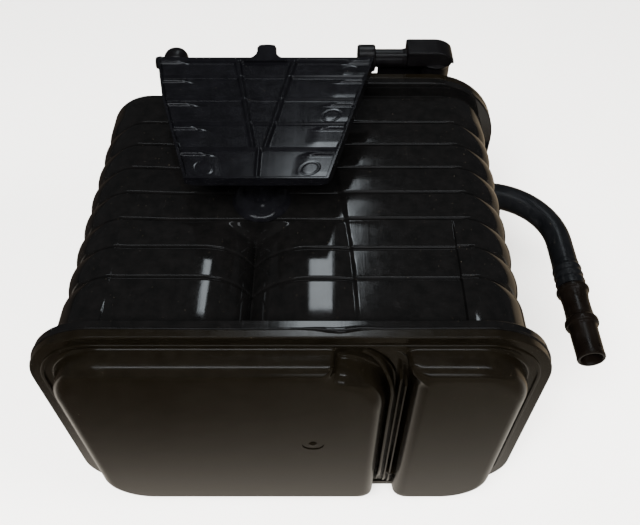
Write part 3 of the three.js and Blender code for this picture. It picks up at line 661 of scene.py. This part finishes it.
def weld_flash():
    """The bead that the welding pressed out between the front flanges, thick at one place."""
    outline = front_outline(0.1, 60)
    closed = np.vstack([outline, outline[:1]])
    along = np.concatenate([[0], np.cumsum(np.linalg.norm(np.diff(closed, axis=0), axis=1))])
    count = 900
    places = np.linspace(0, along[-1], count, endpoint=False)
    x = np.interp(places, along, closed[:, 0])
    z = np.interp(places, along, closed[:, 1])
    ripple = np.zeros(count)
    for waves in (9, 23, 41, 87, 171):
        ripple += np.sin(places / along[-1] * 2 * math.pi * waves + rng.uniform(0, 6.28)) / waves ** 0.5
    lump = np.exp(-((x - 24) / 13) ** 2) * (z > 0)
    radius = 0.62 + 0.16 * ripple + 1.0 * lump
    drift = 0.25 * np.sin(places / 31) + 0.9 * lump * np.sin(places / 5.5)
    centre = np.column_stack([x, np.full(count, BODY_FRONT - 0.15) + drift, z])
    tangent = np.roll(centre, -1, 0) - np.roll(centre, 1, 0)
    tangent /= np.linalg.norm(tangent, axis=1)[:, None]
    out = np.cross(tangent, (0, 1.0, 0))
    turn = np.linspace(0, 2 * math.pi, 10, endpoint=False)
    rings = [c + r * (np.outer(np.cos(turn), (0, 1.0, 0)) + np.outer(np.sin(turn), o))
             for c, r, o in zip(centre, np.clip(radius, 0.25, 1.9), out)]
    bead = loft("weld_flash", rings, closed=False)
    finish_piece(bead, BODY_NYLON, "black_nylon", sharp=60)


# ---- front cover ----
def wide_pan_outline(inset):
    left = -PAN_HALF_WIDTH + inset
    right = CHANNEL_LEFT - inset
    radius = PAN_CORNER - inset
    foot = 5.0
    start = math.degrees(math.acos((STEP_X + 5.0 - TURN_X) / STEP_RADIUS))
    tall = TURN_Z + (STEP_RADIUS - inset) * math.sin(math.radians(start))
    top = -inset
    edge = STEP_X - inset
    blend = np.linspace(0, 1, 7)
    fall = np.column_stack([edge + (STEP_X + 5.0 - edge) * blend ** 2 * 0.9,
                            tall + (top - 2.2 - tall) * (1 - blend) ** 2])
    return np.vstack([
        arc(left + radius, PAN_BOTTOM + inset + radius, radius, 180, 270, 18),
        arc(right - foot, PAN_BOTTOM + inset + foot, foot, -90, 0, 8),
        arc(TURN_X, TURN_Z, STEP_RADIUS - inset, 0, start, 22),
        fall[::-1],
        arc(edge - 2.2, top - 2.2, 2.2, 12, 90, 6),
        arc(left + radius, -inset - radius, radius, 90, 180, 18),
    ])


def narrow_pan_outline(inset):
    left = CHANNEL_RIGHT + inset
    right = PAN_HALF_WIDTH - inset
    radius = PAN_CORNER - inset
    sweep_radius = SWEEP_RADIUS + inset
    foot = 5.0
    centre_x = CHANNEL_RIGHT - SWEEP_RADIUS
    top = -inset
    tip = math.degrees(math.asin((SWEEP_RADIUS - 4.4 - inset) / sweep_radius))
    tip_x = centre_x + sweep_radius * math.cos(math.radians(tip))
    tip_z = -SWEEP_RADIUS + sweep_radius * math.sin(math.radians(tip))
    return np.vstack([
        arc(left + foot, PAN_BOTTOM + inset + foot, foot, 180, 270, 8),
        arc(right - radius, PAN_BOTTOM + inset + radius, radius, -90, 0, 18),
        arc(right - radius, -inset - radius, radius, 0, 90, 18),
        [(tip_x + 4.2, top), (tip_x + 1.6, top - 0.5), (tip_x + 0.3, (top - 0.9 + tip_z) / 2 + 0.6)],
        arc(centre_x, -SWEEP_RADIUS, sweep_radius, tip, 0, 16),
    ])


def pan(name, outline_at):
    """A raised pan: fillet at its foot, drafted wall and round front edge."""
    sections = [(COVER_FLANGE_Y + 1.5, -PAN_FOOT)]
    for turn in np.radians([0, 22, 45, 68, 90]):
        inset = -PAN_FOOT * (1 - math.sin(turn))
        sections.append((COVER_FLANGE_Y - PAN_FOOT * (1 - math.cos(turn)), inset))
    sections.append((PAN_ROUND + 1.5, PAN_DRAFT * 0.6))
    sections += edge_round(0, 1, PAN_ROUND, PAN_DRAFT, [0, 15, 30, 45, 60, 75, 90])
    return loft(name, layers(outline_at, sections))


def ribbon(name, path, half_at, y_front_at, y_back):
    """An upright strip on the cover along a path in X and Z, rounded at its front edge."""
    path = np.asarray(path, float)
    tangent = np.gradient(path, axis=0)
    tangent /= np.linalg.norm(tangent, axis=1)[:, None]
    side = np.column_stack([-tangent[:, 1], tangent[:, 0]])
    rings = []
    for point, normal, share in zip(path, side, np.linspace(0, 1, len(path))):
        half = half_at(share)
        front = y_front_at(share)
        nose = [(-half * math.cos(t), front + half * (1 - math.sin(t))) for t in np.radians([30, 60, 90, 120, 150])]
        section = [(-half, y_back), (-half, front + half), *nose, (half, front + half), (half, y_back)]
        rings.append(np.array([(point[0] + normal[0] * o, y, point[1] + normal[1] * o) for o, y in section]))
    return loft(name, rings)


def corner_path(offset, start, bottom):
    """Follows the wide pan's corner at an offset, then runs straight down."""
    bend = []
    for turn in np.linspace(start, 0, 20):
        radius = STEP_RADIUS + offset(turn)
        bend.append((TURN_X + radius * math.cos(turn), TURN_Z + radius * math.sin(turn)))
    return bend + [(bend[-1][0], z) for z in np.linspace(TURN_Z - 6, bottom, 12)]


def channel_ribs():
    first = corner_path(lambda t: 2.9 + 4.3 * smooth(t / 1.3), 1.12, -149)
    second = [(CHANNEL_LEFT + 6.4, z) for z in np.linspace(-19, -149, 22)]
    third = [(CHANNEL_LEFT + 9.0, z) for z in np.linspace(-24, -149, 22)]
    deep, seat = COVER_FLANGE_Y - 7, COVER_FLANGE_Y + 1.5
    ribs = [
        ribbon("rib_a", first, lambda s: 1.9 - 0.7 * smooth(s / 0.35),
               lambda s: COVER_FLANGE_Y - 1.2 - 6.2 * smooth((s - 0.05) / 0.4) * smooth((1 - s) / 0.08),
               seat),
        ribbon("rib_b", second, lambda s: 0.8, lambda s: deep + 1.2 + 4.5 * smooth((s - 0.92) / 0.08), seat),
        ribbon("rib_c", third, lambda s: 0.7, lambda s: deep + 0.4 + 5.3 * smooth((s - 0.92) / 0.08), seat),
    ]
    bulge = lathe("bulge", [(CORE, -2), (3.0, -2), (3.2, 4), (2.6, 6.5), (1.4, 7.6), (CORE, 8)],
                  (CHANNEL_RIGHT - 1.6, COVER_FLANGE_Y + 1, -128), (0, -1, 0), 24)
    return [*ribs, bulge]


def pips():
    """Rows of tiny raised dots along the cover's flange, above the pans."""
    vertices, faces = [], []
    ring = 8
    turns = [2 * math.pi * k / ring for k in range(ring)]
    columns = [*np.arange(-16, 62, 4.9), *np.arange(62, 96, 2.45)]
    for column, x in enumerate(columns):
        for row in range(3 if column % 3 else 4):
            z = 5.6 - 1.75 * row
            base = len(vertices)
            size = 0.24 + 0.07 * rng.random()
            for radius, lift in ((size, -0.1), (size * 0.8, 0.12), (size * 0.35, 0.2)):
                vertices += [(x + radius * math.cos(t), COVER_FLANGE_Y - lift, z + radius * math.sin(t))
                             for t in turns]
            for low in (base, base + ring):
                for k in range(ring):
                    a, b = low + k, low + (k + 1) % ring
                    faces.append((a, b, b + ring, a + ring))
            faces.append(tuple(range(base + 2 * ring, base + 3 * ring)))
            faces.append(tuple(range(base, base + ring))[::-1])
    return mesh_object("pips", vertices, faces)


def front_cover():
    back = COVER_FLANGE_Y + FLANGE_THICK
    flange = plate("front_cover_shell", front_outline, COVER_FLANGE_Y, back, 0.8, 0.4)
    rim = plate("rim", lambda i: front_outline(5.4 + i), COVER_FLANGE_Y - 0.9, COVER_FLANGE_Y + 1, 0.5, 0.2)
    inner = plate("inner", lambda i: front_outline(7.0 + i), COVER_FLANGE_Y - 2, COVER_FLANGE_Y, 0.2, 0.2)
    combine(rim, [inner], "DIFFERENCE")
    pans = [pan("wide_pan", wide_pan_outline), pan("narrow_pan", narrow_pan_outline)]
    combine(flange, [rim, *pans, *channel_ribs()])
    slot_path = corner_path(lambda t: 5.6 + 4.2 * smooth(t / 1.2), 1.16, -60)
    slit = ribbon("slit", slot_path[:22], lambda s: 0.75 - 0.3 * s, lambda s: COVER_FLANGE_Y - 5, back - 0.9)
    hollows = [plate("hollow", lambda i, at_inset=outline_at: at_inset(COVER_WALL + 0.6 + i),
                     COVER_WALL, back + 1, 1.0, 0.1) for outline_at in (wide_pan_outline, narrow_pan_outline)]
    gate = lathe("gate", rounded([(CORE, -1), (5.2, -1), (6.0, 0.45), (CORE, 0.45)], 0.3),
                 GATE, (0, 1, 0), 48)
    combine(flange, [slit, *hollows, gate], "DIFFERENCE")
    nub = lathe("nub", [(CORE, -1.4), (2.2, -1.4), (2.3, -0.35), (1.7, 0.15), (0.7, 0.4), (CORE, 0.42)],
                GATE, (0, -1, 0), 24)
    combine(flange, [nub])
    finish_piece(flange, COVER_NYLON, "black_nylon", "front_cover")
    dots = pips()
    finish_piece(dots, COVER_NYLON, "black_nylon", sharp=70)


# ---- rear cover ----
def rear_cover():
    front = BODY_BACK + GAP
    cover = plate("rear_cover_shell", rear_outline, front, front + FLANGE_THICK, 0.4, 0.9)

    def pan_outline(inset):
        return rear_outline(REAR_PAN_INSET + inset, REAR_PAN_LEFT_INSET + inset)

    sections = [(front + 2, -0.1), (front + FLANGE_THICK, -1.6), (front + FLANGE_THICK + 0.5, -0.7),
                (front + FLANGE_THICK + 1.8, 0.0)]
    sections.append((REAR_PAN_BACK - PAN_ROUND, PAN_DRAFT))
    sections += edge_round(REAR_PAN_BACK, -1, PAN_ROUND, PAN_DRAFT, [15, 30, 45, 60, 75, 90])
    back_pan = loft("back_pan", layers(pan_outline, sections))
    hollow = plate("hollow", lambda i: pan_outline(COVER_WALL + 0.8 + i), front - 1, REAR_PAN_BACK - COVER_WALL,
                   0.1, 1.5)
    combine(cover, [back_pan])
    combine(cover, [hollow], "DIFFERENCE")
    top = REAR_TOP_LIP - REAR_PAN_INSET
    bosses, holes = [], []
    for x, radius in ((NECK_X, 6.5), (TANK_PORT_X, 4.6)):
        profile = rounded([(CORE, -4), (radius + 2.4, -4), (radius + 1.8, 2), (CORE, 2)], 0.5)
        bosses.append(lathe("boss", profile, (x, PORT_Y, top), (0, 0, 1), 40))
        holes.append(rod("hole", radius, -20, 5, (x, PORT_Y, top), (0, 0, 1), 40))
    combine(cover, bosses)
    combine(cover, holes, "DIFFERENCE")
    finish_piece(cover, COVER_NYLON, "black_nylon", "rear_cover")


# ---- mounting bracket ----
def bracket_left(y):
    """The left edge has a slight kink two thirds of the way back."""
    return BRACKET_X - 35 - 0.308 * min(y - BRACKET_FRONT, 63) - 0.219 * max(y - BRACKET_FRONT - 63, 0)


def bracket_right(y):
    return BRACKET_X + 35 + (y - BRACKET_FRONT) / (BRACKET_BACK - BRACKET_FRONT) * 27


def ridge(away, half, top, soft=0.5):
    """The height of a rib's section at a distance from its middle."""
    return PLATE_FLOOR + (top - PLATE_FLOOR) * smooth((half + soft - away) / (soft * 1.6))


def bracket_top(x, y, left, right):
    """The tray's upper skin: floor, rails, ribs across, V ribs and the stepped pads."""
    height = np.full(x.shape, PLATE_FLOOR)
    inward = np.minimum(x - left, right - x)
    height = np.maximum(height, ridge(np.maximum(inward - 0.2, 0), 1.4, PLATE_TOP))
    height = np.maximum(height, ridge(abs(y - BRACKET_FRONT - 0.6), 0.9, PLATE_TOP))
    height = np.maximum(height, ridge(max(BRACKET_BACK - 0.4 - y, 0), 1.6, PLATE_TOP - 0.3))
    for rib in BRACKET_RIBS:
        height = np.maximum(height, ridge(abs(y - rib), 0.35, PLATE_TOP - 0.7, 0.7))
    share = np.clip((y - BRACKET_RIBS[0]) / (BRACKET_BACK - BRACKET_RIBS[0]), 0, 1)
    for side in (-1, 1):
        line = BRACKET_X + side * (3 + 13.6 * share)
        if y >= BRACKET_RIBS[0]:
            height = np.maximum(height, ridge(np.abs(x - line), 0.8 + 0.5 * share, PLATE_TOP - 0.9, 1.0))
    if y < BRACKET_RIBS[0]:
        height = np.maximum(height, ridge(np.abs(x - BRACKET_X), 0.7, PLATE_TOP - 1.0, 0.9))
    fronts = [BRACKET_FRONT + 1, *BRACKET_RIBS]
    for bay, (front, back) in enumerate(zip(fronts, PAD_BACKS)):
        if front <= y <= back + 1.6:
            rise = PLATE_FLOOR + 0.25 * smooth((y - front) / 6) + 1.25 * smooth((y - back + 1.9) / 2.2)
            edge = 18.5 + 2.5 * (y - back) / (back - front)
            corner = np.clip((y - back + 4.0) / 4.0, 0, 1)
            edge = edge - 4.0 * (1 - np.sqrt(np.maximum(1 - corner * corner, 0)))
            pad = (rise - PLATE_FLOOR) * smooth((edge + 3.5 - inward) / 8.0)
            pad = pad * smooth((back + 1.5 - y) / 1.1)
            ring_y = (front + back) / 2 - 1
            for centre_x, bays in ((left + 11.5, (0,)), (right - 11.5, (0, 2, 4))):
                if bay in bays:
                    away = np.hypot(x - centre_x, y - ring_y)
                    pad = pad - 0.12 * smooth((0.9 - np.abs(away - 4.4)) / 0.8)
            height = np.maximum(height, PLATE_FLOOR + pad)
    return height


def tray():
    """One closed skin: a fine grid on top, its edges turned down and a stepped underside."""
    ys = np.concatenate([np.arange(BRACKET_FRONT, BRACKET_BACK, 0.42), [BRACKET_BACK]])
    shares = np.concatenate([np.linspace(0, 0.045, 9)[:-1], np.linspace(0.045, 0.955, 230),
                             np.linspace(0.955, 1, 9)[1:]])
    count = len(shares)
    vertices, faces = [], []
    for under in (False, True):
        for y in ys:
            left, right = bracket_left(y), bracket_right(y)
            x = left + (right - left) * shares
            if under:
                inward = np.minimum(x - left, right - x)
                skirt = 3.0 * smooth((2.4 - inward) / 0.8) * smooth((y - BRACKET_FRONT) / 9)
                z = PLATE_FLOOR - BRACKET_SKIN - skirt
                z = z + 1.2 * smooth((5 - inward) / 5) * (y < BRACKET_FRONT + 3)
            else:
                z = bracket_top(x, y, left, right)
            vertices += list(np.column_stack([x, np.full(count, y), z]))
    rows = len(ys)
    for side in (0, rows * count):
        for j in range(rows - 1):
            for i in range(count - 1):
                a = side + j * count + i
                faces.append((a, a + 1, a + count + 1, a + count))
    lower = rows * count
    border = [*range(count), *range(2 * count - 1, lower, count)]
    border += [*range(lower - 2, lower - count - 1, -1), *range(lower - 2 * count, 0, -count)]
    for a, b in zip(border, border[1:] + border[:1]):
        faces.append((a, b, b + lower, a + lower))
    return mesh_object("mounting_tray", vertices, faces)


def bracket_tab():
    """The tab behind the tray, with hollow fillets at its root."""
    half, root = 5.6, 12.5
    side = [(root, 187.5), (root, 189.6), (root - 2.6, 190.2), (half + 2.2, 191.7), (half + 0.7, 193.8),
            (half, 196.6), (half + 0.1, 200.4), (half - 0.5, 201.6)]
    top = [(half * math.cos(t) * 0.9, 202.3 + 1.2 * math.sin(t)) for t in np.linspace(0.25, math.pi - 0.25, 9)]
    outline = [(x, y) for x, y in side] + top + [(-x, y) for x, y in side[::-1]]
    rings = []
    for z, inset in ((25.0, 0.5), (25.3, 0.12), (25.6, 0), (29.2, 0), (29.7, 0.15), (29.9, 0.6)):
        rings.append(np.array([(BRACKET_X + x * (1 - inset / half), y - inset * 0.5, z) for x, y in outline]))
    return loft("tab", rings)


def funnel():
    """The tray's deep front lip narrows into the round boss, which flares again at its foot."""
    turns = np.linspace(0, 2 * math.pi, 96, endpoint=False)
    rings = []

    def level(radius, z):
        rings.append(np.column_stack([BRACKET_X + radius * np.cos(turns), BOSS_Y + radius * np.sin(turns),
                                      np.full(len(turns), z)]))

    levels = [(26.6, 1.0), (25.6, 0.97), (24.6, 0.91), (23.6, 0.84), (22.6, 0.76), (21.8, 0.62), (21.2, 0.46),
              (20.4, 0.32), (19.2, 0.21), (17.5, 0.12), (15.0, 0.05), (12.5, 0.01), (10.0, 0.0)]
    waist = BOSS_RADIUS - 0.6
    wide, ahead, behind = 33.6, BOSS_Y - BRACKET_FRONT - 0.2, 14.0
    depth = np.where(np.sin(turns) < 0, ahead, behind)
    lean = np.abs(np.cos(turns)) ** 5
    box_radius = 1 / (np.abs(np.cos(turns) / wide) ** 5 + np.abs(np.sin(turns) / depth) ** 5) ** 0.2
    for z, share in levels:
        reach = share * (1 - 0.35 * lean * (1 - share))
        radius = waist + (box_radius - waist) * reach
        level(radius, z)
    for z, flare in ((8.0, 0.2), (6.0, 0.7), (4.4, 1.4), (3.0, 2.4), (1.8, 3.6), (0.8, 4.8), (0.0, 6.0),
                     (-0.5, 7.1), (-0.75, 8.0), (-1.5, 8.3)):
        level(waist + flare, z)
    return loft("funnel", rings)


def foot(side):
    x = BRACKET_X + side * FOOT_X
    rings = []
    for z, grow in ((-1.3, 1.6), (0.4, 1.2), (1.6, 0.5), (3.2, 0.1), (22, -0.3), (25.0, 0.2), (26.5, 1.0)):
        half_x, half_y, radius = 9 + grow, 4 + grow, 2.0
        corners = [(1, 1, 0), (-1, 1, 90), (-1, -1, 180), (1, -1, 270)]
        ring = np.vstack([arc(x + sx * (half_x - radius), FOOT_Y + sy * (half_y - radius), radius, a, a + 90, 5)
                          for sx, sy, a in corners])
        rings.append(np.column_stack([ring, np.full(len(ring), z)]))
    return loft("foot", rings)


def mounting_bracket():
    bracket = tray()
    combine(bracket, [bracket_tab(), funnel(), foot(-1), foot(1)])
    finish_piece(bracket, BRACKET_NYLON, "black_nylon", "mounting_bracket", sharp=48)


# ---- rear ports ----
def purge_elbow():
    """A blocky hood on a round neck, with a thin nozzle that points left."""
    left, right = ELBOW_X - 14.5, ELBOW_X + 14.5

    def hood_outline(inset):
        low = ELBOW_BOTTOM + inset
        return np.vstack([
            arc(left + inset + 1.4, low + 1.4, 1.4, 180, 270, 4),
            arc(right - inset - 4, low + 2.5, 2.5, -90, 0, 6),
            [(right - 12 + (12 - inset) * math.cos(t), ELBOW_TOP - 7.4 + (7.4 - inset) * math.sin(t))
             for t in np.linspace(0, math.pi / 2, 15)],
            arc(left + inset + 1.2, ELBOW_TOP - inset - 1.2, 1.2, 90, 180, 4),
        ])

    hood = plate("purge_elbow_hood", hood_outline, PORT_Y - 8, PORT_Y + 8, 0.9, 1.6, 5)
    rise = ELBOW_BOTTOM - PORT_SEAT
    neck_profile = rounded([(CORE, -12), (4.6, -12), (5.0, -11), (5.0, 0), (9.4, 0), (9.4, rise - 1.2),
                            (10.4, rise + 0.8), (CORE, rise + 3)], 0.6)
    base, tip = (NECK_X, PORT_Y, PORT_SEAT), (NOZZLE_TIP_X, PORT_Y, NOZZLE_Z)
    neck = lathe("neck", neck_profile, base, (0, 0, 1), 56)
    reach = NECK_X - NOZZLE_TIP_X
    nozzle_profile = rounded([(CORE, 0), (4.7, 0), (5.5, 1.2), (5.5, 26.5), (6.2, 29), (5.5, 31), (5.5, reach),
                              (CORE, reach)], 0.5)
    nozzle = lathe("nozzle", nozzle_profile, tip, (1, 0, 0), 48)
    web = plate("web", lambda i: np.array([(50 + i, PORT_SEAT + i), (NECK_X, PORT_SEAT + i), (NECK_X, NOZZLE_Z),
                                           (50 + i, NOZZLE_Z)]), PORT_Y - 1.3, PORT_Y + 1.3, 0.3, 0.3, 3)
    combine(hood, [neck, nozzle, web])
    across = lathe("across", [(CORE, -1), (3.6, -1), (3.4, 0.4), (3.4, 47), (CORE, 47)], tip, (1, 0, 0), 32)
    down = rod("down", 3.2, -13, NOZZLE_Z - PORT_SEAT + 2, base, (0, 0, 1))
    combine(hood, [across, down], "DIFFERENCE")
    finish_piece(hood, PORT_NYLON, "black_nylon", "purge_elbow")


def nozzle_collar():
    profile = rounded([(5.8, 0), (7.4, 0), (8.2, 0.9), (8.2, 10.1), (7.5, 11), (5.8, 11)], 0.35)
    collar = lathe("purge_collar", profile, (NOZZLE_TIP_X - 1, PORT_Y, NOZZLE_Z), (1, 0, 0), 56, ring=True)
    finish_piece(collar, PORT_NYLON, "black_nylon", "purge_nozzle_collar")


def tank_elbow():
    """A round head on a short neck; its nozzle points left."""
    half = 6.2
    dome = [(7.6 * math.sin(t) ** 0.8, -half * math.cos(t)) for t in np.linspace(0.15, math.pi - 0.15, 22)]
    head = lathe("tank_elbow_head", [(CORE, -half), *dome, (CORE, half)], (TANK_PORT_X, PORT_Y, TANK_HEAD_Z),
                 (0, 0, 1), 48)
    rise = TANK_HEAD_Z - PORT_SEAT
    neck_profile = rounded([(CORE, -12), (2.8, -12), (3.2, -11), (3.2, 0), (7.4, 0), (7.4, rise),
                            (CORE, rise)], 0.5)
    neck = lathe("neck", neck_profile, (TANK_PORT_X, PORT_Y, PORT_SEAT), (0, 0, 1), 48)
    reach = TANK_PORT_X - TANK_NOZZLE_END
    base = (TANK_PORT_X, PORT_Y, TANK_NOZZLE_Z)
    nozzle_profile = rounded([(CORE, 0), (4, 0), (3.8, reach - 4), (4.2, reach - 2.6), (3.5, reach),
                              (CORE, reach)], 0.3)
    nozzle = lathe("nozzle", nozzle_profile, base, (-1, 0, 0), 48)
    combine(head, [neck, nozzle])
    up = rod("up", 2, -13, TANK_NOZZLE_Z - PORT_SEAT + 1, (TANK_PORT_X, PORT_Y, PORT_SEAT), (0, 0, 1))
    across = rod("across", 2.6, 0, reach + 1, base, (-1, 0, 0))
    combine(head, [up, across], "DIFFERENCE")
    finish_piece(head, PORT_NYLON, "black_nylon", "tank_elbow")


def o_ring(name, node, x, inner, outer):
    """A round seal on a port's stem."""
    middle, half = (inner + outer) / 2, (outer - inner) / 2
    turns = np.linspace(0, 2 * math.pi, 14)[:-1]
    section = [(middle + half * math.cos(t), 1.5 + 1.45 * math.sin(t)) for t in turns]
    seal = lathe(name, section, (x, PORT_Y, -7), (0, 0, 1), 48, ring=True)
    finish_piece(seal, RUBBER, "rubber_seal", node, sharp=60)


# ---- fresh-air tube ----
def tube_path(steps=40):
    first = np.linspace(TUBE_START_X, TUBE_RUN_X - TUBE_BEND, 6)[:-1]
    bend = arc(TUBE_RUN_X - TUBE_BEND, TUBE_Y - TUBE_BEND, TUBE_BEND, 90, 0, steps)
    last = np.linspace(TUBE_Y - TUBE_BEND, TUBE_END_Y, 40)[1:]
    flat = [(x, TUBE_Y) for x in first] + [tuple(p) for p in bend] + [(TUBE_RUN_X, y) for y in last]
    return np.array([(x, y, TUBE_Z) for x, y in flat])


def fresh_air_tube():
    """A smooth preformed tube that swells and creases where the fitting's barbs sit inside it."""
    path = tube_path()

    def outside(share):
        slim = 0.35 - 0.75 * smooth(share / 0.75)
        swell = 0.6 * smooth((share - 0.83) / 0.05)
        creases = 0.3 * math.sin((share - 0.83) * 150) * smooth((share - 0.83) / 0.03)
        creases *= smooth((0.985 - share) / 0.02)
        return TUBE_RADIUS + slim + swell + creases

    tube = sweep("fresh_air_hose", path, outside, 48)
    longer = np.vstack([path[0] - (1, 0, 0), path, path[-1] - (0, 1, 0)])
    bore = sweep("bore", longer, lambda share: TUBE_BORE, 32)
    combine(tube, [bore], "DIFFERENCE")
    finish_piece(tube, TUBE_PLASTIC, "tube_plastic", "fresh_air_tube", sharp=50)


def grommet():
    profile = rounded([(8.8, 0), (13.0, 0), (13.0, 2.2), (10.8, 5), (8.8, 5)], 0.8)
    ring = lathe("tube_grommet", profile, (HALF_WIDTH + 1 + GAP, TUBE_Y, TUBE_Z), (1, 0, 0), 56, ring=True)
    finish_piece(ring, RUBBER, "rubber_seal", "fresh_air_grommet", sharp=50)


def quick_connect():
    """The rigid end: barbed tail, shoulder, two beads and an open tip."""
    start = TUBE_END_Y - GAP
    length = start - FITTING_TIP_Y
    bore = 4.4
    tail = [(bore, -14), (5.0, -14), (5.9, -11.5), (5.4, -11), (5.9, -8), (5.4, -7.5), (5.8, -5), (5.8, 0)]
    shoulder = [(8.6, 0), (9.0, 0.6), (9.6, 1.2), (9.65, 2.4), (9.4, 3.4), (8.6, 4.2), (8.25, 5.4), (7.8, 10),
                (7.75, 15), (7.95, 20)]
    bead = [(8.5, 22.6), (9.4, 23.6), (9.6, 24.8), (9.6, 26.4), (9.3, 27.2), (8.3, 27.8), (8.05, 29), (7.95, 34)]
    end = [(7.8, -3), (8.0, -2), (7.95, -0.7), (7.4, 0), (6.4, 0), (6.0, -0.5), (bore + 1.3, -1.6), (bore, -9)]
    tip = [(radius, length + along) for radius, along in end]
    profile = rounded([*tail, *shoulder, *bead, *tip], 0.28, 3)
    fitting = lathe("push_fit_end", profile, (TUBE_RUN_X, start, TUBE_Z), (0, -1, 0), 72, ring=True)
    finish_piece(fitting, FITTING_PLASTIC, "fitting_plastic", "quick_connect_end")


# ---- inside ----
def coil_spring(chamber, index, x, z):
    """A compression spring with closed, flattened end turns."""
    front = COVER_WALL + GAP + SPRING_WIRE
    back = SPRING_BACK - SPRING_WIRE
    turns = 5.5
    steps = int(turns * 28)
    path = []
    for k in range(steps + 1):
        share = k / steps
        rise = smooth((share - 0.09) / 0.82) * 0.86 + 0.14 * share
        angle = share * turns * 2 * math.pi
        path.append((x + SPRING_RADIUS * math.cos(angle), front + (back - front) * rise,
                     z + SPRING_RADIUS * math.sin(angle)))
    coil = sweep(f"{chamber}_coil_{index}", path, lambda share: SPRING_WIRE, 12)
    finish_piece(coil, STEEL, "spring_steel", f"{chamber}_spring_{index}", sharp=60)
    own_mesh(coil)


def inside_finishes():
    """The hidden pieces keep their CAD shape and get their own finishes."""
    finishes = {
        "pressure_plate": INNER_NYLON,
        "rear_grid": INNER_NYLON,
        "front_filter": FOAM,
        "rear_filter": FOAM,
        "carbon_bed": CARBON,
    }
    for chamber in SPRING_PLACES:
        for kind, material in finishes.items():
            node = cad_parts[f"{chamber}_{kind}"]
            node.data.materials.clear()
            node.data.materials.append(material)


# ---- stage, light and camera ----
def area_light(name, place, aim, size, power, colour, mirrored=True):
    data = bpy.data.lights.new(name, "AREA")
    data.shape = "RECTANGLE"
    data.size, data.size_y = size
    data.energy = power
    data.color = colour
    light = link_object(name, data)
    light.location = place
    light.rotation_euler = (Vector(aim) - Vector(place)).to_track_quat("-Z", "Y").to_euler()
    light.visible_glossy = mirrored


def square(name, half, z):
    mesh = bpy.data.meshes.new(name)
    corners = [(-half, -half, z), (half, -half, z), (half, half, z), (-half, half, z)]
    mesh.from_pydata(corners, [], [(0, 1, 2, 3)])
    return link_object(name, mesh)


def stage():
    floor = square("floor", 4.0, 0)
    paint = Finish("pale_floor", 0.6)
    tone = paint.mix(paint.noise(3, 3), (0.80, 0.785, 0.76), (0.84, 0.83, 0.81))
    floor.data.materials.append(paint.done(tone, paint.remap(paint.noise(9, 3), 0.3, 0.7, 0.55, 0.7)))
    world = bpy.data.worlds.new("studio")
    bpy.context.scene.world = world
    world.use_nodes = True
    background = world.node_tree.nodes["Background"]
    background.inputs[0].default_value = (0.64, 0.67, 0.71, 1)
    background.inputs[1].default_value = 0.06


def painted_reflection_card():
    """A brown card that only reflections see, painted as a reflection for the front cover to mirror: bright just in
    front of the cover, dark further ahead and behind it.
    """
    near = _COVER_LOW.y + 0.01
    card = square("painted_reflection_card", 3.99, 0.0005)
    paint = Finish("painted_reflection_paint", 0.9)
    sideways, ahead = paint.node("ShaderNodeSeparateXYZ", Vector=paint.place).outputs[:2]
    # painted reflection: dark far ahead of the front cover, growing bright just in front of it
    share = paint.remap(ahead, near - 0.11, near, 0, 1)
    left = paint.mix(paint.math("POWER", share, 3.0), (0.006, 0.004, 0.002), (0.17, 0.155, 0.135))
    right = paint.mix(paint.math("POWER", share, 1.7), (0.022, 0.019, 0.014), (0.12, 0.112, 0.1))
    tone = paint.mix(paint.remap(sideways, -0.12, 0.14, 0, 1), left, right)
    # painted reflection: behind the front edge the card turns dark on the left and lighter to the right
    behind = paint.remap(ahead, near + 0.02, near + 0.06, 0, 1)
    beside = paint.mix(paint.remap(sideways, 0, 0.2, 0, 1), (0.012, 0.009, 0.007), (0.09, 0.072, 0.05))
    tone = paint.mix(behind, tone, beside)
    card.data.materials.append(paint.done(tone, paint.remap(paint.noise(9, 3), 0.3, 0.7, 0.85, 0.95)))
    card.visible_camera = False
    card.visible_diffuse = False
    card.visible_shadow = False


def lights():
    centre = at((0, 100, -40))
    lean = math.radians(54.6)
    for name, turn, width, power in (("window_pane", 0.0, 0.225, 3.8), ("window_edge", 5.5, 0.04, 0.42)):
        swing = math.radians(turn)
        away = np.array([math.cos(lean) * math.sin(swing), math.cos(lean) * math.cos(swing), math.sin(lean)])
        area_light(name, centre + 2.4 * away, centre, (width, 0.86), power, (0.86, 0.94, 1.0))
    area_light("ceiling", (0.1, -0.5, 2.7), (0.1, 0, 0), (2.8, 0.2), 11, (0.9, 0.95, 1.0))
    area_light("front_low", (0.3, -2.4, 1.1), (0, 0, 0), (0.7, 0.5), 2, (0.9, 0.95, 1.0))
    area_light("overhead", (-0.3, -1.1, 1.9), (0, 0.1, 0), (1.5, 1.0), 370, (1.0, 0.99, 0.97), mirrored=False)
    area_light("side_fill", (1.9, -0.5, 1.5), (0, 0, 0), (1.0, 1.0), 90, (1.0, 0.98, 0.95), mirrored=False)


def camera():
    data = bpy.data.cameras.new("camera")
    data.sensor_width = 36
    data.lens = 39.375
    eye = link_object("camera", data)
    eye.location = at((13.8, -153.85, 267.88))
    eye.rotation_euler = (math.radians(90 - 51), 0, 0)
    bpy.context.scene.camera = eye


camera()
stage()
painted_reflection_card()
lights()
canister_body()
weld_flash()
front_cover()
rear_cover()
mounting_bracket()
purge_elbow()
nozzle_collar()
tank_elbow()
o_ring("purge_o_ring", "purge_elbow_seal", NECK_X, 5.2, 6.3)
o_ring("tank_o_ring", "tank_elbow_seal", TANK_PORT_X, 3.4, 4.4)
fresh_air_tube()
grommet()
quick_connect()
for chamber, places in SPRING_PLACES.items():
    for number, (spring_x, spring_z) in enumerate(places, 1):
        coil_spring(chamber, number, spring_x, spring_z)
inside_finishes()
